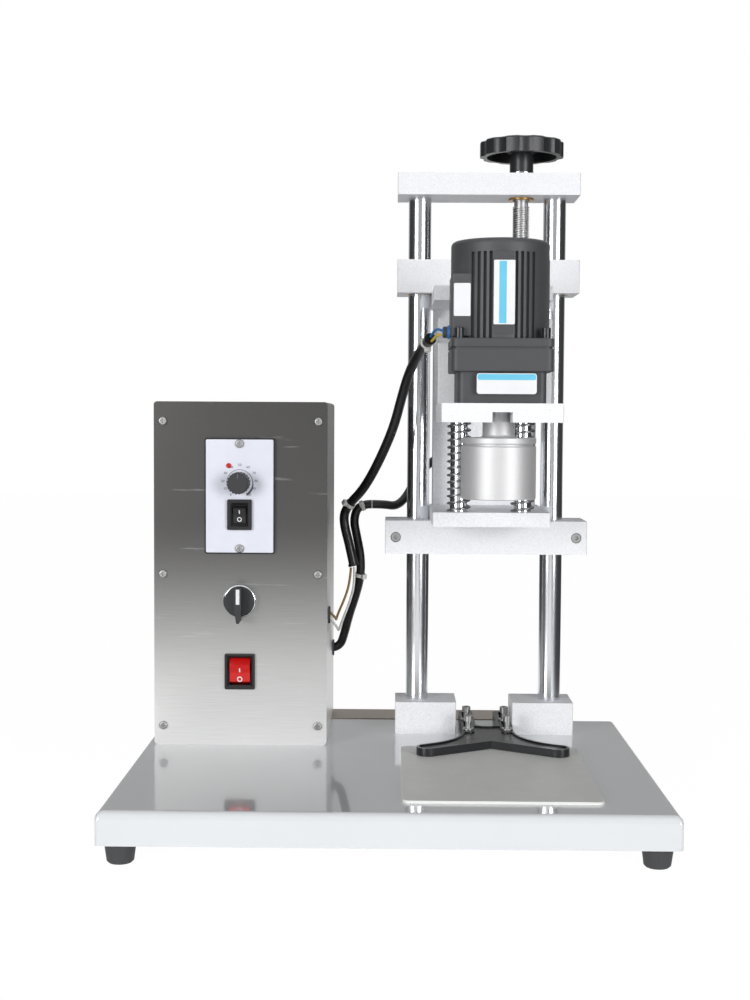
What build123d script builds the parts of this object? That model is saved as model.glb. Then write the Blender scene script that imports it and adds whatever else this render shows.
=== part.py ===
from build123d import *
from math import cos, hypot, pi, radians, sin, sqrt, tan
import os

# Bench-top bottle capping machine.
# Millimetres. X to the right, Y to the back, Z up.
# Below, Y counts from the centre of the base. Each part is written with the
# origin under the centre of the whole footprint, base and rear ledge, on the bench.

# Clearances
running_clearance = 0.05
seat_clearance = 0.02
air_gap = 0.3

# Base and feet
base_width = 422.0
base_depth = 335.0
base_thickness = 25.0
base_corner_radius = 3.0
base_edge_radius = 6.0
foot_height = 16.0
foot_diameter = 24.0
foot_tip_diameter = 20.0
foot_inset_x = 16.0
foot_inset_y = 17.0
foot_stem_diameter = 6.0
foot_stem_length = 12.0
ledge_depth = 43.0
ledge_thickness = 20.0
ledge_inset = 61.0

# Rest pad
pad_width = 149.0
pad_depth = 180.0
pad_thickness = 2.0
pad_corner_radius = 6.0
pad_front = -137.0

# Column
column_inset = 126.5
post_line_y = 123.5
post_spacing = 120.0
post_diameter = 20.0
block_width = 54.5
block_depth = 45.0
block_height = 28.5
block_overhang = 19.5
top_plate_above_base = 478.0
top_plate_thickness = 19.0
cross_width = 160.0
cross_depth = 50.0
post_socket_depth = 8.0
post_screw_diameter = 8.0
post_screw_head_diameter = 13.0
post_screw_head_height = 8.0
post_screw_length = 20.0
edge_chamfer = 0.6

# Carriage
lower_bar_above_base = 162.0
lower_bar_width = 179.0
lower_bar_height = 29.5
upper_bar_above_base = 392.5
upper_bar_height = 29.0
clamp_slit = 2.0
clamp_screw_reach = 80.0
clamp_screw_diameter = 5.0
clamp_head_diameter = 8.5
clamp_head_height = 5.0
clamp_screw_length = 40.0
carriage_plate_width = 98.5
carriage_plate_thickness = 12.0
carriage_plate_reach = 96.0
back_plate_width = 94.0
back_plate_thickness = 8.0
post_bush_diameter = 26.0

# Lead screw and handwheel
screw_offset = 30.0
screw_diameter = 15.0
screw_journal_diameter = 12.0
screw_above_base = 260.0
nut_diameter = 24.0
thrust_bush_diameter = 18.0
thrust_flange_diameter = 22.0
thrust_flange_thickness = 1.7
collar_diameter = 23.0
collar_thickness = 3.5
wheel_diameter = 74.0
wheel_hub_diameter = 21.0
wheel_hub_height = 13.5
wheel_rim_height = 13.5
wheel_rim_width = 6.0
wheel_web_thickness = 5.0
wheel_dish = 1.0
wheel_cone = 6.0
wheel_cap_diameter = 18.0
wheel_lobes = 10
wheel_lobe_radius = 13.5

# Guide rods, springs and capping head
cap_reach = 168.0
rod_reach = 80.0
rod_spacing = 54.0
rod_diameter = 15.0
rod_bush_diameter = 20.0
rod_bush_flange_diameter = 25.0
rod_bush_flange_thickness = 3.0
spring_wire = 2.0
spring_outer_diameter = 20.4
spring_turns = 12.5
head_gap = 76.0
head_plate_width = 93.0
head_plate_thickness = 14.5
head_plate_front = 41.0
head_plate_back = 12.0
head_bore_diameter = 30.0
notch_width = 15.5
notch_height = 7.8
upright_thickness = 12.0
upright_height = 70.0
upright_gap = 10.0

# Gearmotor
gear_lower_side = 68.0
gear_lower_height = 24.0
gear_upper_side = 78.0
gear_upper_height = 17.3
gear_corner_radius = 5.0
gear_groove = 1.7
gear_groove_depth = 1.5
flange_height = 6.5
barrel_diameter = 77.0
barrel_height = 76.0
barrel_cap_height = 10.5
barrel_cap_radius = 4.0
fin_count = 4
fin_pitch = 4.4
fin_width = 2.0
fin_height = 3.0
label_pad_width = 17.0
motor_bolt_reach = 33.0
motor_bolt_diameter = 4.0
motor_bolt_head_diameter = 7.0
motor_bolt_head_height = 8.0
terminal_width = 15.0
terminal_depth = 42.0
terminal_height = 47.0
terminal_front = 30.0
lead_gland_diameter = 9.0
lead_gland_length = 5.0
lead_gland_y = -38.5
lead_gland_above_base = 350.0

# Spindle and capping clutch
shaft_diameter = 12.0
shaft_drop = 20.0
shaft_engagement = 12.0
hub_diameter = 25.5
hub_top_gap = 2.0
hub_drop = 12.0
hub_fillet = 2.5
disc_diameter = 59.0
disc_thickness = 4.8
groove_diameter = 54.0
groove_height = 1.8
clutch_length = 41.6
mouth_diameter = 46.0
mouth_depth = 24.0
liner_thickness = 19.0
liner_throat_diameter = 26.0
liner_mouth_diameter = 40.0

# Bottle locator
locator_shift = 2.0
locator_apex_y = 33.5
locator_angle = 31.0
locator_arm_width = 18.6
locator_half_span = 63.8
locator_tail_width = 45.0
locator_tail_gap = 19.0
locator_tail_end = 160.5
locator_gap_front = 94.0
locator_foot_front = 80.0
locator_thickness = 6.7
locator_rim = 2.0
locator_recess = 1.3
locator_flank_radius = 56.0
slot_spacing = 34.0
slot_width = 5.6
slot_front = 74.0
slot_back = 154.0
slot_boss_width = 10.4
locator_screw_front = 79.5
locator_screw_pitch = 40.0
locator_screw_diameter = 5.0
locator_head_diameter = 7.5
locator_head_height = 5.0
locator_screw_stand = 12.6
locator_screw_depth = 14.0
washer_diameter = 10.0
washer_thickness = 1.2
washer_clearance = 0.15

# Control box
box_width = 148.5
box_height = 295.5
box_depth = 145.5
box_inset = 8.25
box_front = 51.5
box_wall = 1.5
box_corner_radius = 3.0
panel_thickness = 1.5
panel_return = 14.0
panel_screw_inset_x = 7.75
panel_screw_inset_z = 16.75
panel_screw_diameter = 4.0
panel_head_diameter = 7.3
panel_head_height = 2.2
panel_recess_length = 3.8
panel_recess_width = 0.9
panel_recess_depth = 1.3
panel_screw_length = 9.0
speed_unit_width = 59.5
speed_unit_height = 98.5
speed_unit_plate = 3.0
speed_unit_body_width = 48.0
speed_unit_body_height = 84.0
speed_unit_body_depth = 60.0
speed_unit_above_base = 215.0
speed_screw_pitch = 89.5
controls_shift = -0.5
lamp_diameter = 4.4
lamp_offset_x = -9.3
lamp_offset_z = 26.0
lamp_stand = 1.6
knob_offset_z = 11.5
knob_diameter = 18.6
knob_length = 17.0
knob_front_step = 0.8
knob_flutes = 20
knob_shaft_diameter = 6.0
knob_shaft_length = 8.0
selector_above_base = 124.9
selector_ring_diameter = 28.5
selector_bore = 22.0
selector_ring_height = 4.0
selector_body_diameter = 21.5
selector_body_length = 25.0
selector_recess_floor = 2.0
selector_neck_diameter = 21.0
selector_knob_diameter = 26.0
selector_knob_height = 4.5
selector_grip_width = 6.0
selector_grip_height = 15.0
selector_grip_shoulder = -5.0
selector_grip_point = -17.5
selector_point_radius = 1.5
selector_shaft_diameter = 8.0
selector_shaft_length = 10.0
rocker_tilt = 10.0
rocker_proud = 1.4
rocker_end_slope = 1.6
switch_flange = 2.4
switch_body_depth = 16.0
switch_wall = 1.2
stop_above_speed_center = -15.8
stop_frame_width = 20.9
stop_frame_height = 26.1
stop_rocker_width = 10.4
stop_rocker_radius = 7.9
stop_rocker_ridge = 6.3
stop_pivot_drop = 2.2
power_above_base = 63.8
power_frame_width = 26.0
power_frame_height = 30.6
power_rocker_width = 17.4
power_rocker_radius = 11.5
power_rocker_ridge = 7.5
power_pivot_drop = 5.0

# Cables
sleeve_diameter = 8.4
branch_diameter = 8.0
wire_diameter = 2.2
box_gland_diameter = 15.0
box_gland_length = 5.0
box_gland_flange = 1.5
gland_entry = 1.0
branch_gland_y = 177.0
branch_gland_above_base = 65.5
wire_gland_y = 84.0
wire_gland_above_base = 109.0

# Levels and lines that follow from the sizes above
base_top = foot_height + base_thickness
ledge_right_end = base_width / 2 - ledge_inset
column_x = base_width / 2 - column_inset
top_plate_bottom = base_top + top_plate_above_base
lower_bar_bottom = base_top + lower_bar_above_base
upper_bar_bottom = base_top + upper_bar_above_base
screw_bottom = base_top + screw_above_base
lead_gland_z = base_top + lead_gland_above_base
branch_gland_z = base_top + branch_gland_above_base
wire_gland_z = base_top + wire_gland_above_base
cap_y = post_line_y - cap_reach
rod_y = post_line_y - rod_reach
cross_front = post_line_y - cross_depth / 2
cross_back = post_line_y + cross_depth / 2
post_left_x = column_x - post_spacing / 2
post_right_x = column_x + post_spacing / 2
screw_x = column_x + screw_offset
lower_bar_top = lower_bar_bottom + lower_bar_height
upper_bar_top = upper_bar_bottom + upper_bar_height
spring_plate_top = lower_bar_top + carriage_plate_thickness
carriage_top_bottom = upper_bar_bottom - carriage_plate_thickness
carriage_front = post_line_y - carriage_plate_reach
head_bottom = spring_plate_top + head_gap
head_top = head_bottom + head_plate_thickness
gear_step = head_top + gear_lower_height
gear_top = gear_step + gear_upper_height
flange_bottom = gear_top + gear_groove
flange_top = flange_bottom + flange_height
barrel_top = flange_top + barrel_height
hub_top = head_top - hub_top_gap
hub_bottom = head_bottom - hub_drop
disc_bottom = hub_bottom - disc_thickness
clutch_top = disc_bottom - groove_height
clutch_bottom = clutch_top - clutch_length
top_plate_top = top_plate_bottom + top_plate_thickness
collar_bottom = top_plate_top + air_gap
wheel_bottom = collar_bottom + collar_thickness
wheel_web_bottom = wheel_bottom + wheel_hub_height
wheel_top = wheel_web_bottom + wheel_rim_height
screw_top = wheel_top - 4.0
box_left = box_inset - base_width / 2
box_right = box_left + box_width
box_center_x = box_left + box_width / 2
controls_x = box_center_x + controls_shift
box_bottom = base_top
box_top = base_top + box_height
box_back = box_front + box_depth
panel_back = box_front + panel_thickness
speed_z = base_top + speed_unit_above_base
speed_face = box_front - speed_unit_plate
knob_z = speed_z + knob_offset_z
stop_z = speed_z + stop_above_speed_center
selector_z = base_top + selector_above_base
power_z = base_top + power_above_base
locator_x = column_x + locator_shift
locator_bottom = base_top + pad_thickness + air_gap
locator_top = locator_bottom + locator_thickness


def placed(points):
    """Route points given from the column's middle and the base's top."""
    return [(column_x + x, y, base_top + z) for x, y, z in points]


# Cord routes, each point chosen by hand
sleeve_route = placed([
    (-118.0, 132.5, 147.5),
    (-122.0, 133.5, 166.5),
    (-126.5, 134.5, 182.5),
    (-127.5, 134.0, 195.0),
    (-121.0, 129.5, 205.5),
    (-111.5, 121.0, 215.5),
    (-102.0, 110.5, 230.5),
    (-91.5, 98.5, 252.0),
    (-82.0, 86.5, 275.5),
    (-76.0, 75.5, 299.0),
    (-70.5, 63.5, 318.5),
    (-64.0, 47.0, 333.0),
    (-58.0, 27.0, 342.5),
    (-53.0, 4.5, 347.0),
])
branch_route = placed([
    (box_right + gland_entry - column_x, branch_gland_y, branch_gland_above_base),
    (-131.5, 176.5, 67.0),
    (-127.5, 172.0, 79.5),
    (-123.0, 165.0, 98.0),
    (-116.5, 156.5, 118.0),
    (-112.0, 150.5, 136.5),
    (-112.0, 148.0, 155.0),
    (-115.5, 147.0, 172.5),
    (-119.0, 147.0, 189.5),
    (-113.5, 147.0, 203.0),
    (-102.0, 147.0, 203.0),
])
carriage_branch_route = placed([
    (-102.0 + air_gap, 147.0, 203.0),
    (-91.0, 147.0, 203.0),
    (-79.5, 151.5, 201.0),
    (-70.5, 157.5, 209.0),
    (-62.5, 161.0, 224.0),
    (-52.5, 162.5, 238.0),
    (-40.5, 161.0, 246.0),
    (-32.0, 154.5, 248.0),
])
white_wire_route = placed([
    (-117.5, 131.5, 146.4),
    (-117.0, 130.0, 132.0),
    (-121.0, 125.0, 116.0),
    (-127.5, 118.0, 100.0),
    (-130.5, 107.0, 91.0),
    (-131.0, 95.5, 96.0),
    (box_right + gland_entry - column_x, 85.5, 106.5),
])
brown_wire_route = placed([
    (-120.5, 131.5, 146.0),
    (-121.5, 130.0, 132.0),
    (-126.0, 125.0, 118.0),
    (-131.5, 118.0, 106.0),
    (-133.0, 107.0, 101.0),
    (-132.5, 95.5, 104.5),
    (box_right + gland_entry - column_x, 84.5, 111.5),
])
blue_lead_route = placed([
    (-52.7, 2.0, 348.8),
    (-51.0, -8.0, 351.5),
    (-49.5, -18.0, 353.0),
    (-48.0, -28.0, 353.0),
    (-46.3, -35.5, 352.0),
    (-43.5, -39.0, 350.8),
])
yellow_lead_route = placed([
    (-51.9, 2.0, 345.2),
    (-50.3, -8.0, 346.8),
    (-48.9, -18.0, 348.0),
    (-47.6, -28.0, 348.3),
    (-46.1, -35.0, 348.2),
    (-43.5, -38.0, 348.2),
])


def slab(x0, x1, y0, y1, z0, z1):
    """A plain rectangular solid between two corners."""
    center = ((x0 + x1) / 2, (y0 + y1) / 2, (z0 + z1) / 2)
    return Pos(*center) * Box(x1 - x0, y1 - y0, z1 - z0)


def rod(diameter, z0, z1, x, y):
    """An upright cylinder between two levels."""
    return Pos(x, y, (z0 + z1) / 2) * Cylinder(diameter / 2, z1 - z0)


def rod_y_axis(diameter, y0, y1, x, z):
    """A cylinder that lies along Y."""
    return Pos(x, (y0 + y1) / 2, z) * Rot(X=90) * Cylinder(diameter / 2, y1 - y0)


def rod_x_axis(diameter, x0, x1, y, z):
    """A cylinder that lies along X."""
    return Pos((x0 + x1) / 2, y, z) * Rot(Y=90) * Cylinder(diameter / 2, x1 - x0)


def turned(profile, x, y, z=0.0):
    """Revolve a list of (radius, height) corners about an upright axis."""
    face = Plane.XZ * make_face(Polyline(*profile, close=True))
    return Pos(x, y, z) * revolve(face, Axis.Z)


def softened(solid, size, axis=Axis.Z):
    """Chamfer the edges that run along one axis."""
    return chamfer(solid.edges().filter_by(axis), size)


def socket_head(diameter, height, key):
    """A cap screw head with its hexagon socket, face up, seated on Z = 0."""
    head = Pos(0, 0, height / 2) * Cylinder(diameter / 2, height)
    head = chamfer(head.edges().group_by(Axis.Z)[-1], diameter * 0.05)
    hexagon = extrude(RegularPolygon(key / sqrt(3), 6), height * 0.55)
    return head - Pos(0, 0, height * 0.45) * hexagon


def cap_screw(diameter, length, head_diameter, head_height, key):
    """A cap screw that points down, its head seated on Z = 0."""
    shank = Pos(0, 0, -length / 2) * Cylinder(diameter / 2, length)
    return socket_head(head_diameter, head_height, key) + shank


def pan_screw(diameter, length, head_diameter, head_height):
    """A cross-recessed pan-head screw that points down, seated on Z = 0."""
    head = Pos(0, 0, head_height / 2) * Cylinder(head_diameter / 2, head_height)
    head = fillet(head.edges().group_by(Axis.Z)[-1], head_height * 0.6)
    arm = Box(panel_recess_length, panel_recess_width, panel_recess_depth)
    head -= Pos(0, 0, head_height - panel_recess_depth / 2) * (arm + Rot(Z=90) * arm)
    shank = Pos(0, 0, -length / 2) * Cylinder(diameter / 2, length)
    return head + shank


def square_prism(side, radius, z0, z1, x, y):
    """An upright square bar with rounded corners."""
    outline = Plane.XY.offset(z0) * Pos(x, y) * RectangleRounded(side, side, radius)
    return extrude(outline, z1 - z0)


def cord_path(points):
    """Straight runs joined by tangent arcs as large as the runs allow."""
    points = [Vector(*p) for p in points]
    edges = []
    radii = []
    start = points[0]
    for before, corner, after in zip(points, points[1:], points[2:]):
        inward = (corner - before).normalized()
        outward = (after - corner).normalized()
        run = min((corner - before).length, (after - corner).length)
        turn = radians(inward.get_angle(outward))
        cut = 0.45 * run
        radius = cut / tan(turn / 2)
        arc_start = corner - inward * cut
        arc_end = corner + outward * cut
        bisector = (outward - inward).normalized()
        center = corner + bisector * (radius / cos(turn / 2))
        arc_middle = center - bisector * radius
        edges.append(Line(start, arc_start))
        edges.append(ThreePointArc(arc_start, arc_middle, arc_end))
        radii.append(radius)
        start = arc_end
    edges.append(Line(start, points[-1]))
    return Wire(edges), radii


def cord_tube(name, points, diameter):
    """A round cord along its route, with its length and bend radii printed."""
    path, radii = cord_path(points)
    section = Plane(origin=path @ 0, z_dir=path % 0) * Circle(diameter / 2)
    tube = sweep(section, path=path)
    share = tube.volume / (pi * diameter ** 2 / 4 * path.length)
    shown = ", ".join(f"{radius:.0f}" for radius in radii)
    print(f"{name}: length {path.length:.0f}, volume share {share:.4f}, radii {shown}")
    return tube


def base_plate():
    """The painted base, with rounded corners and a rounded upper edge."""
    outline = RectangleRounded(base_width, base_depth, base_corner_radius)
    plate = extrude(Plane.XY.offset(foot_height) * outline, base_thickness)
    plate = fillet(plate.edges().group_by(Axis.Z)[-1], base_edge_radius)
    for x, y in foot_places():
        bore = foot_stem_diameter + 2 * seat_clearance
        plate -= rod(bore, foot_height, foot_height + foot_stem_length + 0.5, x, y)
    for x, y in locator_screw_places():
        bore = locator_screw_diameter + 2 * seat_clearance
        plate -= rod(bore, base_top - locator_screw_depth, base_top, x, y)
    return plate


def foot_places():
    """Centres of the four feet."""
    reach_x = base_width / 2 - foot_inset_x
    reach_y = base_depth / 2 - foot_inset_y
    return [(sx * reach_x, sy * reach_y) for sx in (-1, 1) for sy in (-1, 1)]


def rubber_feet():
    """Four tapered push-in feet, each with its stem up into the base."""
    feet = []
    for x, y in foot_places():
        tip = foot_tip_diameter / 2
        stem = foot_stem_diameter / 2
        stem_top = foot_height + foot_stem_length
        profile = [
            (0, 0),
            (tip - 1.5, 0),
            (tip, 1.5),
            (foot_diameter / 2, foot_height),
            (stem, foot_height),
            (stem, stem_top - 1.0),
            (stem - 1.0, stem_top),
            (0, stem_top),
        ]
        feet.append(turned(profile, x, y))
    return feet


def rest_pad():
    """The thin grey mat that the bottle stands on."""
    center = Pos(column_x, pad_front + pad_depth / 2)
    outline = Plane.XY.offset(base_top) * center * RectangleRounded(pad_width, pad_depth, pad_corner_radius)
    return extrude(outline, pad_thickness)


def rear_ledge():
    """The bar behind the base that carries the back of the control box."""
    y0 = base_depth / 2
    bar = slab(box_left, ledge_right_end, y0, y0 + ledge_depth, base_top - ledge_thickness, base_top)
    return softened(bar, edge_chamfer)


def post_block(side):
    """A foot block of one post, longer toward the middle of the column."""
    post_x = column_x + side * post_spacing / 2
    outer = post_x + side * block_overhang
    inner = outer - side * block_width
    y0 = post_line_y - block_depth / 2
    z1 = base_top + block_height
    block = slab(min(inner, outer), max(inner, outer), y0, y0 + block_depth, base_top, z1)
    block = softened(block, edge_chamfer)
    return block - rod(post_diameter + 2 * seat_clearance, base_top, z1, post_x, post_line_y)


def post(x):
    """A ground post, tapped at its upper end."""
    top = top_plate_bottom + post_socket_depth
    bar = rod(post_diameter, base_top, top, x, post_line_y)
    tapped = rod(post_screw_diameter + 2 * seat_clearance, top - post_screw_length, top, x, post_line_y)
    return bar - tapped


def top_plate():
    """The plate that ties the posts and carries the lead screw."""
    x0 = column_x - cross_width / 2
    plate = slab(x0, x0 + cross_width, cross_front, cross_back, top_plate_bottom, top_plate_top)
    plate = softened(plate, edge_chamfer)
    head_seat = top_plate_top - post_screw_head_height - seat_clearance
    socket_top = top_plate_bottom + post_socket_depth + seat_clearance
    screw_bore = post_screw_diameter + 2 * running_clearance
    head_bore = post_screw_head_diameter + 2 * running_clearance
    for x in (post_left_x, post_right_x):
        plate -= rod(post_diameter + 2 * seat_clearance, top_plate_bottom, socket_top, x, post_line_y)
        plate -= rod(screw_bore, top_plate_bottom, top_plate_top, x, post_line_y)
        plate -= rod(head_bore, head_seat, top_plate_top, x, post_line_y)
    seat = thrust_bush_diameter + 2 * seat_clearance
    return plate - rod(seat, top_plate_bottom, top_plate_top, screw_x, post_line_y)


def post_screws():
    """The two screws that hold the top plate on the posts."""
    seat = top_plate_top - post_screw_head_height - seat_clearance
    web = seat - top_plate_bottom - post_socket_depth
    length = post_screw_length + web - 2.0
    screw = cap_screw(post_screw_diameter, length, post_screw_head_diameter, post_screw_head_height, 6.0)
    return [Pos(x, post_line_y, seat) * screw for x in (post_left_x, post_right_x)]


def thrust_bush():
    """A bronze bush with its flange under the top plate."""
    sleeve = rod(thrust_bush_diameter, top_plate_bottom, top_plate_top, screw_x, post_line_y)
    z0 = top_plate_bottom - thrust_flange_thickness
    flange = rod(thrust_flange_diameter, z0, top_plate_bottom, screw_x, post_line_y)
    bore = rod(screw_journal_diameter + 2 * running_clearance, z0, top_plate_top, screw_x, post_line_y)
    return sleeve + flange - bore


def lead_screw():
    """The screw, turned down to a journal above its thread."""
    shoulder = top_plate_bottom - thrust_flange_thickness - running_clearance
    thread = rod(screw_diameter, screw_bottom, shoulder, screw_x, post_line_y)
    thread = chamfer(thread.edges().group_by(Axis.Z)[0], 1.5)
    return thread + rod(screw_journal_diameter, shoulder, screw_top, screw_x, post_line_y)


def screw_collar():
    """The bright collar between the top plate and the handwheel."""
    bore = screw_journal_diameter + 2 * seat_clearance
    ring = rod(collar_diameter, collar_bottom, wheel_bottom, screw_x, post_line_y)
    ring -= rod(bore, collar_bottom, wheel_bottom, screw_x, post_line_y)
    return chamfer(ring.edges().filter_by(GeomType.CIRCLE).group_by(SortBy.RADIUS)[-1], 0.5)


def wheel_outline(diameter):
    """The rim's round outline with a shallow scallop between lobes."""
    outline = Circle(diameter / 2)
    for index in range(wheel_lobes):
        angle = radians(360 / wheel_lobes * (index + 0.5))
        reach = diameter / 2 + wheel_lobe_radius - 2.2
        outline -= Pos(reach * cos(angle), reach * sin(angle)) * Circle(wheel_lobe_radius)
    return outline


def handwheel():
    """A moulded lobed handwheel, hollow below, on its hub."""
    rim = extrude(Plane.XY.offset(wheel_web_bottom) * wheel_outline(wheel_diameter), wheel_rim_height)
    rim = fillet(rim.edges().group_by(Axis.Z)[-1], 1.6)
    inner = wheel_diameter / 2 - wheel_rim_width
    web_bottom = wheel_top - wheel_web_thickness
    rim -= rod(2 * inner, wheel_web_bottom, web_bottom, 0, 0)
    rim -= rod(2 * inner - 4, wheel_top - wheel_dish, wheel_top, 0, 0)
    r_hub = wheel_hub_diameter / 2
    hub = rod(wheel_hub_diameter, wheel_bottom, web_bottom, 0, 0)
    cone = Pos(0, 0, web_bottom - wheel_cone / 2) * Cone(r_hub, r_hub + wheel_cone, wheel_cone)
    cap = rod(wheel_cap_diameter, wheel_top - 2 * wheel_dish, wheel_top, 0, 0)
    wheel = rim + hub + cone + cap
    bore = rod(screw_journal_diameter + 2 * seat_clearance, wheel_bottom, screw_top, 0, 0)
    return Pos(screw_x, post_line_y, 0) * (wheel - bore)


def upper_bar():
    """The crossbar that holds the nut and slides on two bushes."""
    x0 = column_x - cross_width / 2
    bar = slab(x0, x0 + cross_width, cross_front, cross_back, upper_bar_bottom, upper_bar_top)
    bar = softened(bar, edge_chamfer)
    for x in (post_left_x, post_right_x):
        bar -= rod(post_bush_diameter + 2 * seat_clearance, upper_bar_bottom, upper_bar_top, x, post_line_y)
    return bar - rod(nut_diameter + 2 * seat_clearance, upper_bar_bottom, upper_bar_top, screw_x, post_line_y)


def lift_nut():
    """The bronze nut in the upper crossbar."""
    bore = screw_diameter + 2 * running_clearance
    body = rod(nut_diameter, upper_bar_bottom, upper_bar_top, screw_x, post_line_y)
    return body - rod(bore, upper_bar_bottom, upper_bar_top, screw_x, post_line_y)


def post_bushes():
    """Two sleeves in the upper crossbar that run on the posts."""
    bushes = []
    for x in (post_left_x, post_right_x):
        body = rod(post_bush_diameter, upper_bar_bottom, upper_bar_top, x, post_line_y)
        bore = rod(post_diameter + 2 * running_clearance, upper_bar_bottom, upper_bar_top, x, post_line_y)
        bushes.append(body - bore)
    return bushes


def clamp_screw_seat():
    """Depth line of the clamp screws' counterbore."""
    return cross_front + clamp_head_height + 0.4


def lower_bar():
    """The clamp crossbar, slit from each post bore out to its end."""
    x0 = column_x - lower_bar_width / 2
    bar = slab(x0, x0 + lower_bar_width, cross_front, cross_back, lower_bar_bottom, lower_bar_top)
    bar = softened(bar, edge_chamfer)
    y0 = post_line_y - clamp_slit / 2
    z = (lower_bar_bottom + lower_bar_top) / 2
    post_bore = post_diameter + 2 * running_clearance
    for side in (-1, 1):
        post_x = column_x + side * post_spacing / 2
        end_x = column_x + side * lower_bar_width / 2
        screw_line = column_x + side * clamp_screw_reach
        bar -= rod(post_bore, lower_bar_bottom, lower_bar_top, post_x, post_line_y)
        slit_ends = (min(post_x, end_x), max(post_x, end_x))
        bar -= slab(*slit_ends, y0, y0 + clamp_slit, lower_bar_bottom, lower_bar_top)
        bore_end = clamp_screw_seat() + clamp_screw_length
        bar -= rod_y_axis(clamp_screw_diameter + 2 * running_clearance, cross_front, bore_end, screw_line, z)
        bar -= rod_y_axis(clamp_head_diameter + 0.6, cross_front, clamp_screw_seat(), screw_line, z)
    return bar


def clamp_screws():
    """The two cap screws that close the slits on the posts."""
    z = (lower_bar_bottom + lower_bar_top) / 2
    screw = cap_screw(clamp_screw_diameter, clamp_screw_length, clamp_head_diameter, clamp_head_height, 4.0)
    places = [column_x + side * clamp_screw_reach for side in (-1, 1)]
    return [Pos(x, clamp_screw_seat(), z) * Rot(X=90) * screw for x in places]


def carriage_plate(z0):
    """One of the two plates that reach forward and hold the guide rods."""
    x0 = column_x - carriage_plate_width / 2
    plate = slab(x0, x0 + carriage_plate_width, carriage_front, cross_back, z0, z0 + carriage_plate_thickness)
    plate = softened(plate, edge_chamfer)
    for side in (-1, 1):
        x = column_x + side * rod_spacing / 2
        plate -= rod(rod_diameter + 2 * seat_clearance, z0, z0 + carriage_plate_thickness, x, rod_y)
    return plate


def carriage_top_plate():
    """The upper plate, with a clear hole for the lead screw."""
    hole = rod(screw_diameter + 2.0, carriage_top_bottom, upper_bar_bottom, screw_x, post_line_y)
    return carriage_plate(carriage_top_bottom) - hole


def spring_plate():
    """The lower plate, which the springs stand on."""
    return carriage_plate(lower_bar_top)


def carriage_back_plate():
    """The upright plate between the two carriage plates."""
    x0 = column_x - back_plate_width / 2
    y0 = cross_back - back_plate_thickness
    plate = slab(x0, x0 + back_plate_width, y0, cross_back, spring_plate_top, carriage_top_bottom)
    return softened(plate, edge_chamfer)


def guide_rods():
    """Two ground rods through both carriage plates."""
    places = [column_x + side * rod_spacing / 2 for side in (-1, 1)]
    return [rod(rod_diameter, lower_bar_top, upper_bar_bottom, x, rod_y) for x in places]


def spring(side):
    """A compression spring between the spring plate and the head plate."""
    radius = (spring_outer_diameter - spring_wire) / 2
    height = head_gap - spring_wire - 0.2
    helix = Helix(height / spring_turns, height, radius)
    start = helix @ 0
    section = Plane(origin=start, z_dir=helix % 0) * RegularPolygon(spring_wire / 2, 8)
    coil = sweep(section, path=helix, is_frenet=True)
    x = column_x + side * rod_spacing / 2
    return Pos(x, rod_y, spring_plate_top + spring_wire / 2 + 0.1) * coil


def head_plate():
    """The plate that carries the gearmotor and slides on the guide rods."""
    x0 = column_x - head_plate_width / 2
    y0 = cap_y - head_plate_front
    y1 = rod_y + head_plate_back
    plate = softened(slab(x0, x0 + head_plate_width, y0, y1, head_bottom, head_top), edge_chamfer)
    plate -= rod(head_bore_diameter, head_bottom, head_top, column_x, cap_y)
    half = notch_width / 2
    plate -= slab(column_x - half, column_x + half, y0, cap_y, head_bottom, head_bottom + notch_height)
    for side in (-1, 1):
        x = column_x + side * rod_spacing / 2
        plate -= rod(rod_bush_diameter + 2 * seat_clearance, head_bottom, head_top, x, rod_y)
    return plate


def head_upright():
    """The plate that stands on the head plate behind the gear case."""
    x0 = column_x - head_plate_width / 2
    y0 = cap_y + gear_upper_side / 2 + upright_gap
    plate = slab(x0, x0 + head_plate_width, y0, y0 + upright_thickness, head_top, head_top + upright_height)
    return softened(plate, edge_chamfer)


def rod_bushes():
    """Two flanged bushes in the head plate."""
    bushes = []
    flange_top_z = head_top + rod_bush_flange_thickness
    for side in (-1, 1):
        x = column_x + side * rod_spacing / 2
        body = rod(rod_bush_diameter, head_bottom, head_top, x, rod_y)
        body += rod(rod_bush_flange_diameter, head_top, flange_top_z, x, rod_y)
        bushes.append(body - rod(rod_diameter + 2 * running_clearance, head_bottom, flange_top_z, x, rod_y))
    return bushes


def gear_case():
    """The stepped gear case, with the joint line to the motor at its top."""
    lower = square_prism(gear_lower_side, gear_corner_radius, head_top, gear_step, column_x, cap_y)
    upper = square_prism(gear_upper_side, gear_corner_radius, gear_step, gear_top, column_x, cap_y)
    upper = fillet(upper.edges().group_by(Axis.Z)[0], 1.2)
    neck_side = gear_upper_side - 2 * gear_groove_depth
    neck = square_prism(neck_side, gear_corner_radius, gear_top, flange_bottom, column_x, cap_y)
    case = lower + upper + neck
    bore_top = head_top + shaft_engagement + 0.5
    return case - rod(shaft_diameter + 2 * running_clearance, head_top, bore_top, column_x, cap_y)


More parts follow.
